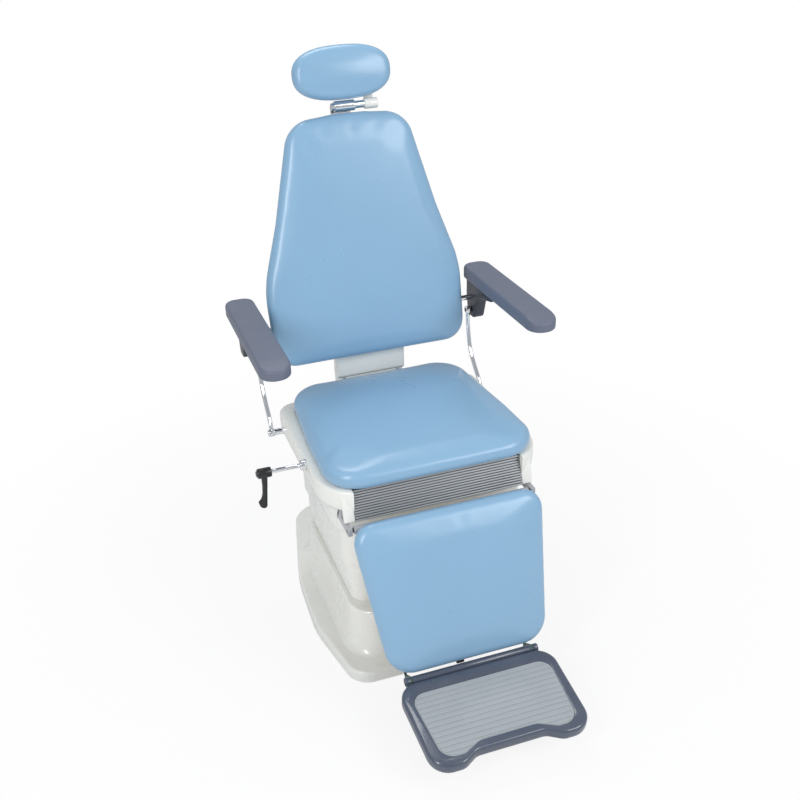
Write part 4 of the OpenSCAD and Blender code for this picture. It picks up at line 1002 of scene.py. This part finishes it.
def soft_light(name, spot, aim, size, power):
    """An area lamp at a place that looks at another, in metres."""
    deselect()
    bpy.ops.object.light_add(type="AREA", location=spot)
    lamp = named(name)
    lamp.data.shape = "RECTANGLE"
    lamp.data.size, lamp.data.size_y = size
    lamp.data.energy = power
    lamp.rotation_euler = (Vector(aim) - Vector(spot)).to_track_quat("-Z", "Y").to_euler()


class CHAIR_OT_stage(bpy.types.Operator):
    """Sets up the floor, the soft studio light and the camera"""
    bl_idname = "chair.stage"
    bl_label = "Set up stage"

    def execute(self, context):
        deselect()
        bpy.ops.mesh.primitive_plane_add(size=60)
        floor = named("studio_floor")
        pale = bpy.data.materials.new("studio_floor")
        pale.use_nodes = True
        tree = pale.node_tree
        tree.nodes.remove(tree.nodes["Principled BSDF"])
        matt = node(tree, "ShaderNodeBsdfDiffuse", {"Color": (0.86, 0.86, 0.86, 1)})
        plain = node(tree, "ShaderNodeEmission", {"Color": (1, 1, 1, 1), "Strength": 1.0})
        seen = node(tree, "ShaderNodeLightPath")
        spot = node(tree, "ShaderNodeTexCoord")
        away = node(tree, "ShaderNodeVectorMath", {0: spot.outputs["Object"]}, operation="LENGTH")
        white = remap(tree, away.outputs["Value"], 0.5, 1.5, 0.86)
        veil = calc(tree, "MULTIPLY", seen.outputs["Is Camera Ray"], white)
        mix = node(tree, "ShaderNodeMixShader", {0: veil, 1: matt.outputs[0],
                                                 2: plain.outputs[0]})
        tree.links.new(mix.outputs[0], tree.nodes["Material Output"].inputs["Surface"])
        pale.cycles.emission_sampling = "NONE"
        floor.data.materials.append(pale)
        world = bpy.data.worlds.new("studio")
        context.scene.world = world
        world.use_nodes = True
        sky = world.node_tree
        room = sky.nodes["Background"]
        room.inputs["Color"].default_value = (0.93, 0.96, 1.0, 1)
        room.inputs["Strength"].default_value = 0.50
        white = node(sky, "ShaderNodeBackground", {"Color": (1, 1, 1, 1), "Strength": 1.0})
        path = node(sky, "ShaderNodeLightPath")
        shown = calc(sky, "MAXIMUM", path.outputs["Is Camera Ray"],
                     path.outputs["Is Transmission Ray"])
        both = node(sky, "ShaderNodeMixShader", {0: shown, 1: room.outputs[0],
                                                 2: white.outputs[0]})
        sky.links.new(both.outputs[0], sky.nodes["World Output"].inputs["Surface"])
        soft_light("key", (1.9, -2.5, 2.7), (0, 0, 0.6), (1.6, 1.6), 50)
        soft_light("left_softbox", (-2.1, -1.7, 2.1), (0, 0, 0.6), (0.45, 1.8), 34)
        soft_light("overhead", (0.0, 1.0, 2.9), (0, 0, 0.8), (1.2, 0.6), 14)
        yaw, pitch, lean = map(math.radians, (CAMERA_YAW, CAMERA_PITCH, CAMERA_LEAN))
        ahead = Vector((math.sin(yaw) * math.cos(pitch), math.cos(yaw) * math.cos(pitch),
                        math.sin(pitch)))
        across = Vector((math.cos(yaw), -math.sin(yaw), 0))
        upward = across.cross(ahead)
        right = math.cos(lean) * across + math.sin(lean) * upward
        top = -math.sin(lean) * across + math.cos(lean) * upward
        bpy.ops.object.camera_add()
        camera = named("photograph_view")
        turn = Matrix((right, top, -ahead)).transposed()
        camera.matrix_world = Matrix.Translation(CAMERA_SPOT) @ turn.to_4x4()
        camera.data.lens = 43.75
        camera.data.sensor_width = 36
        camera.data.shift_x = 0.0528
        camera.data.shift_y = 0.0125
        context.scene.camera = camera
        context.scene.view_settings.view_transform = "Standard"
        return {"FINISHED"}


STEPS = (CHAIR_OT_stage, CHAIR_OT_finishes, CHAIR_OT_base, CHAIR_OT_skirts, CHAIR_OT_housing,
         CHAIR_OT_ribbed_panel, CHAIR_OT_cushions, CHAIR_OT_arms, CHAIR_OT_links,
         CHAIR_OT_lever, CHAIR_OT_back_shell, CHAIR_OT_headrest, CHAIR_OT_foot_tray)


class CHAIR_PT_panel(bpy.types.Panel):
    """The chair's sizes, colours and steps in the 3D view's sidebar"""
    bl_idname = "CHAIR_PT_panel"
    bl_label = "Treatment chair"
    bl_space_type = "VIEW_3D"
    bl_region_type = "UI"
    bl_category = "Chair"

    def draw(self, context):
        for title, group in (("Sizes", context.scene.chair_sizes),
                             ("Finishes", context.scene.chair_finishes)):
            box = self.layout.box()
            box.label(text=title)
            for key in group.__annotations__:
                box.prop(group, key)
        column = self.layout.column()
        for kind in STEPS:
            column.operator(kind.bl_idname)


CLASSES = (ChairFinishes, ChairSizes, *STEPS, CHAIR_PT_panel)


def register():
    for kind in CLASSES:
        bpy.utils.register_class(kind)
    bpy.types.Scene.chair_finishes = bpy.props.PointerProperty(type=ChairFinishes)
    bpy.types.Scene.chair_sizes = bpy.props.PointerProperty(type=ChairSizes)


def unregister():
    del bpy.types.Scene.chair_sizes
    del bpy.types.Scene.chair_finishes
    for kind in reversed(CLASSES):
        bpy.utils.unregister_class(kind)


def main():
    register()
    for kind in STEPS:
        family, action = kind.bl_idname.split(".")
        getattr(getattr(bpy.ops, family), action)()
    deselect()


if __name__ == "__main__":
    main()
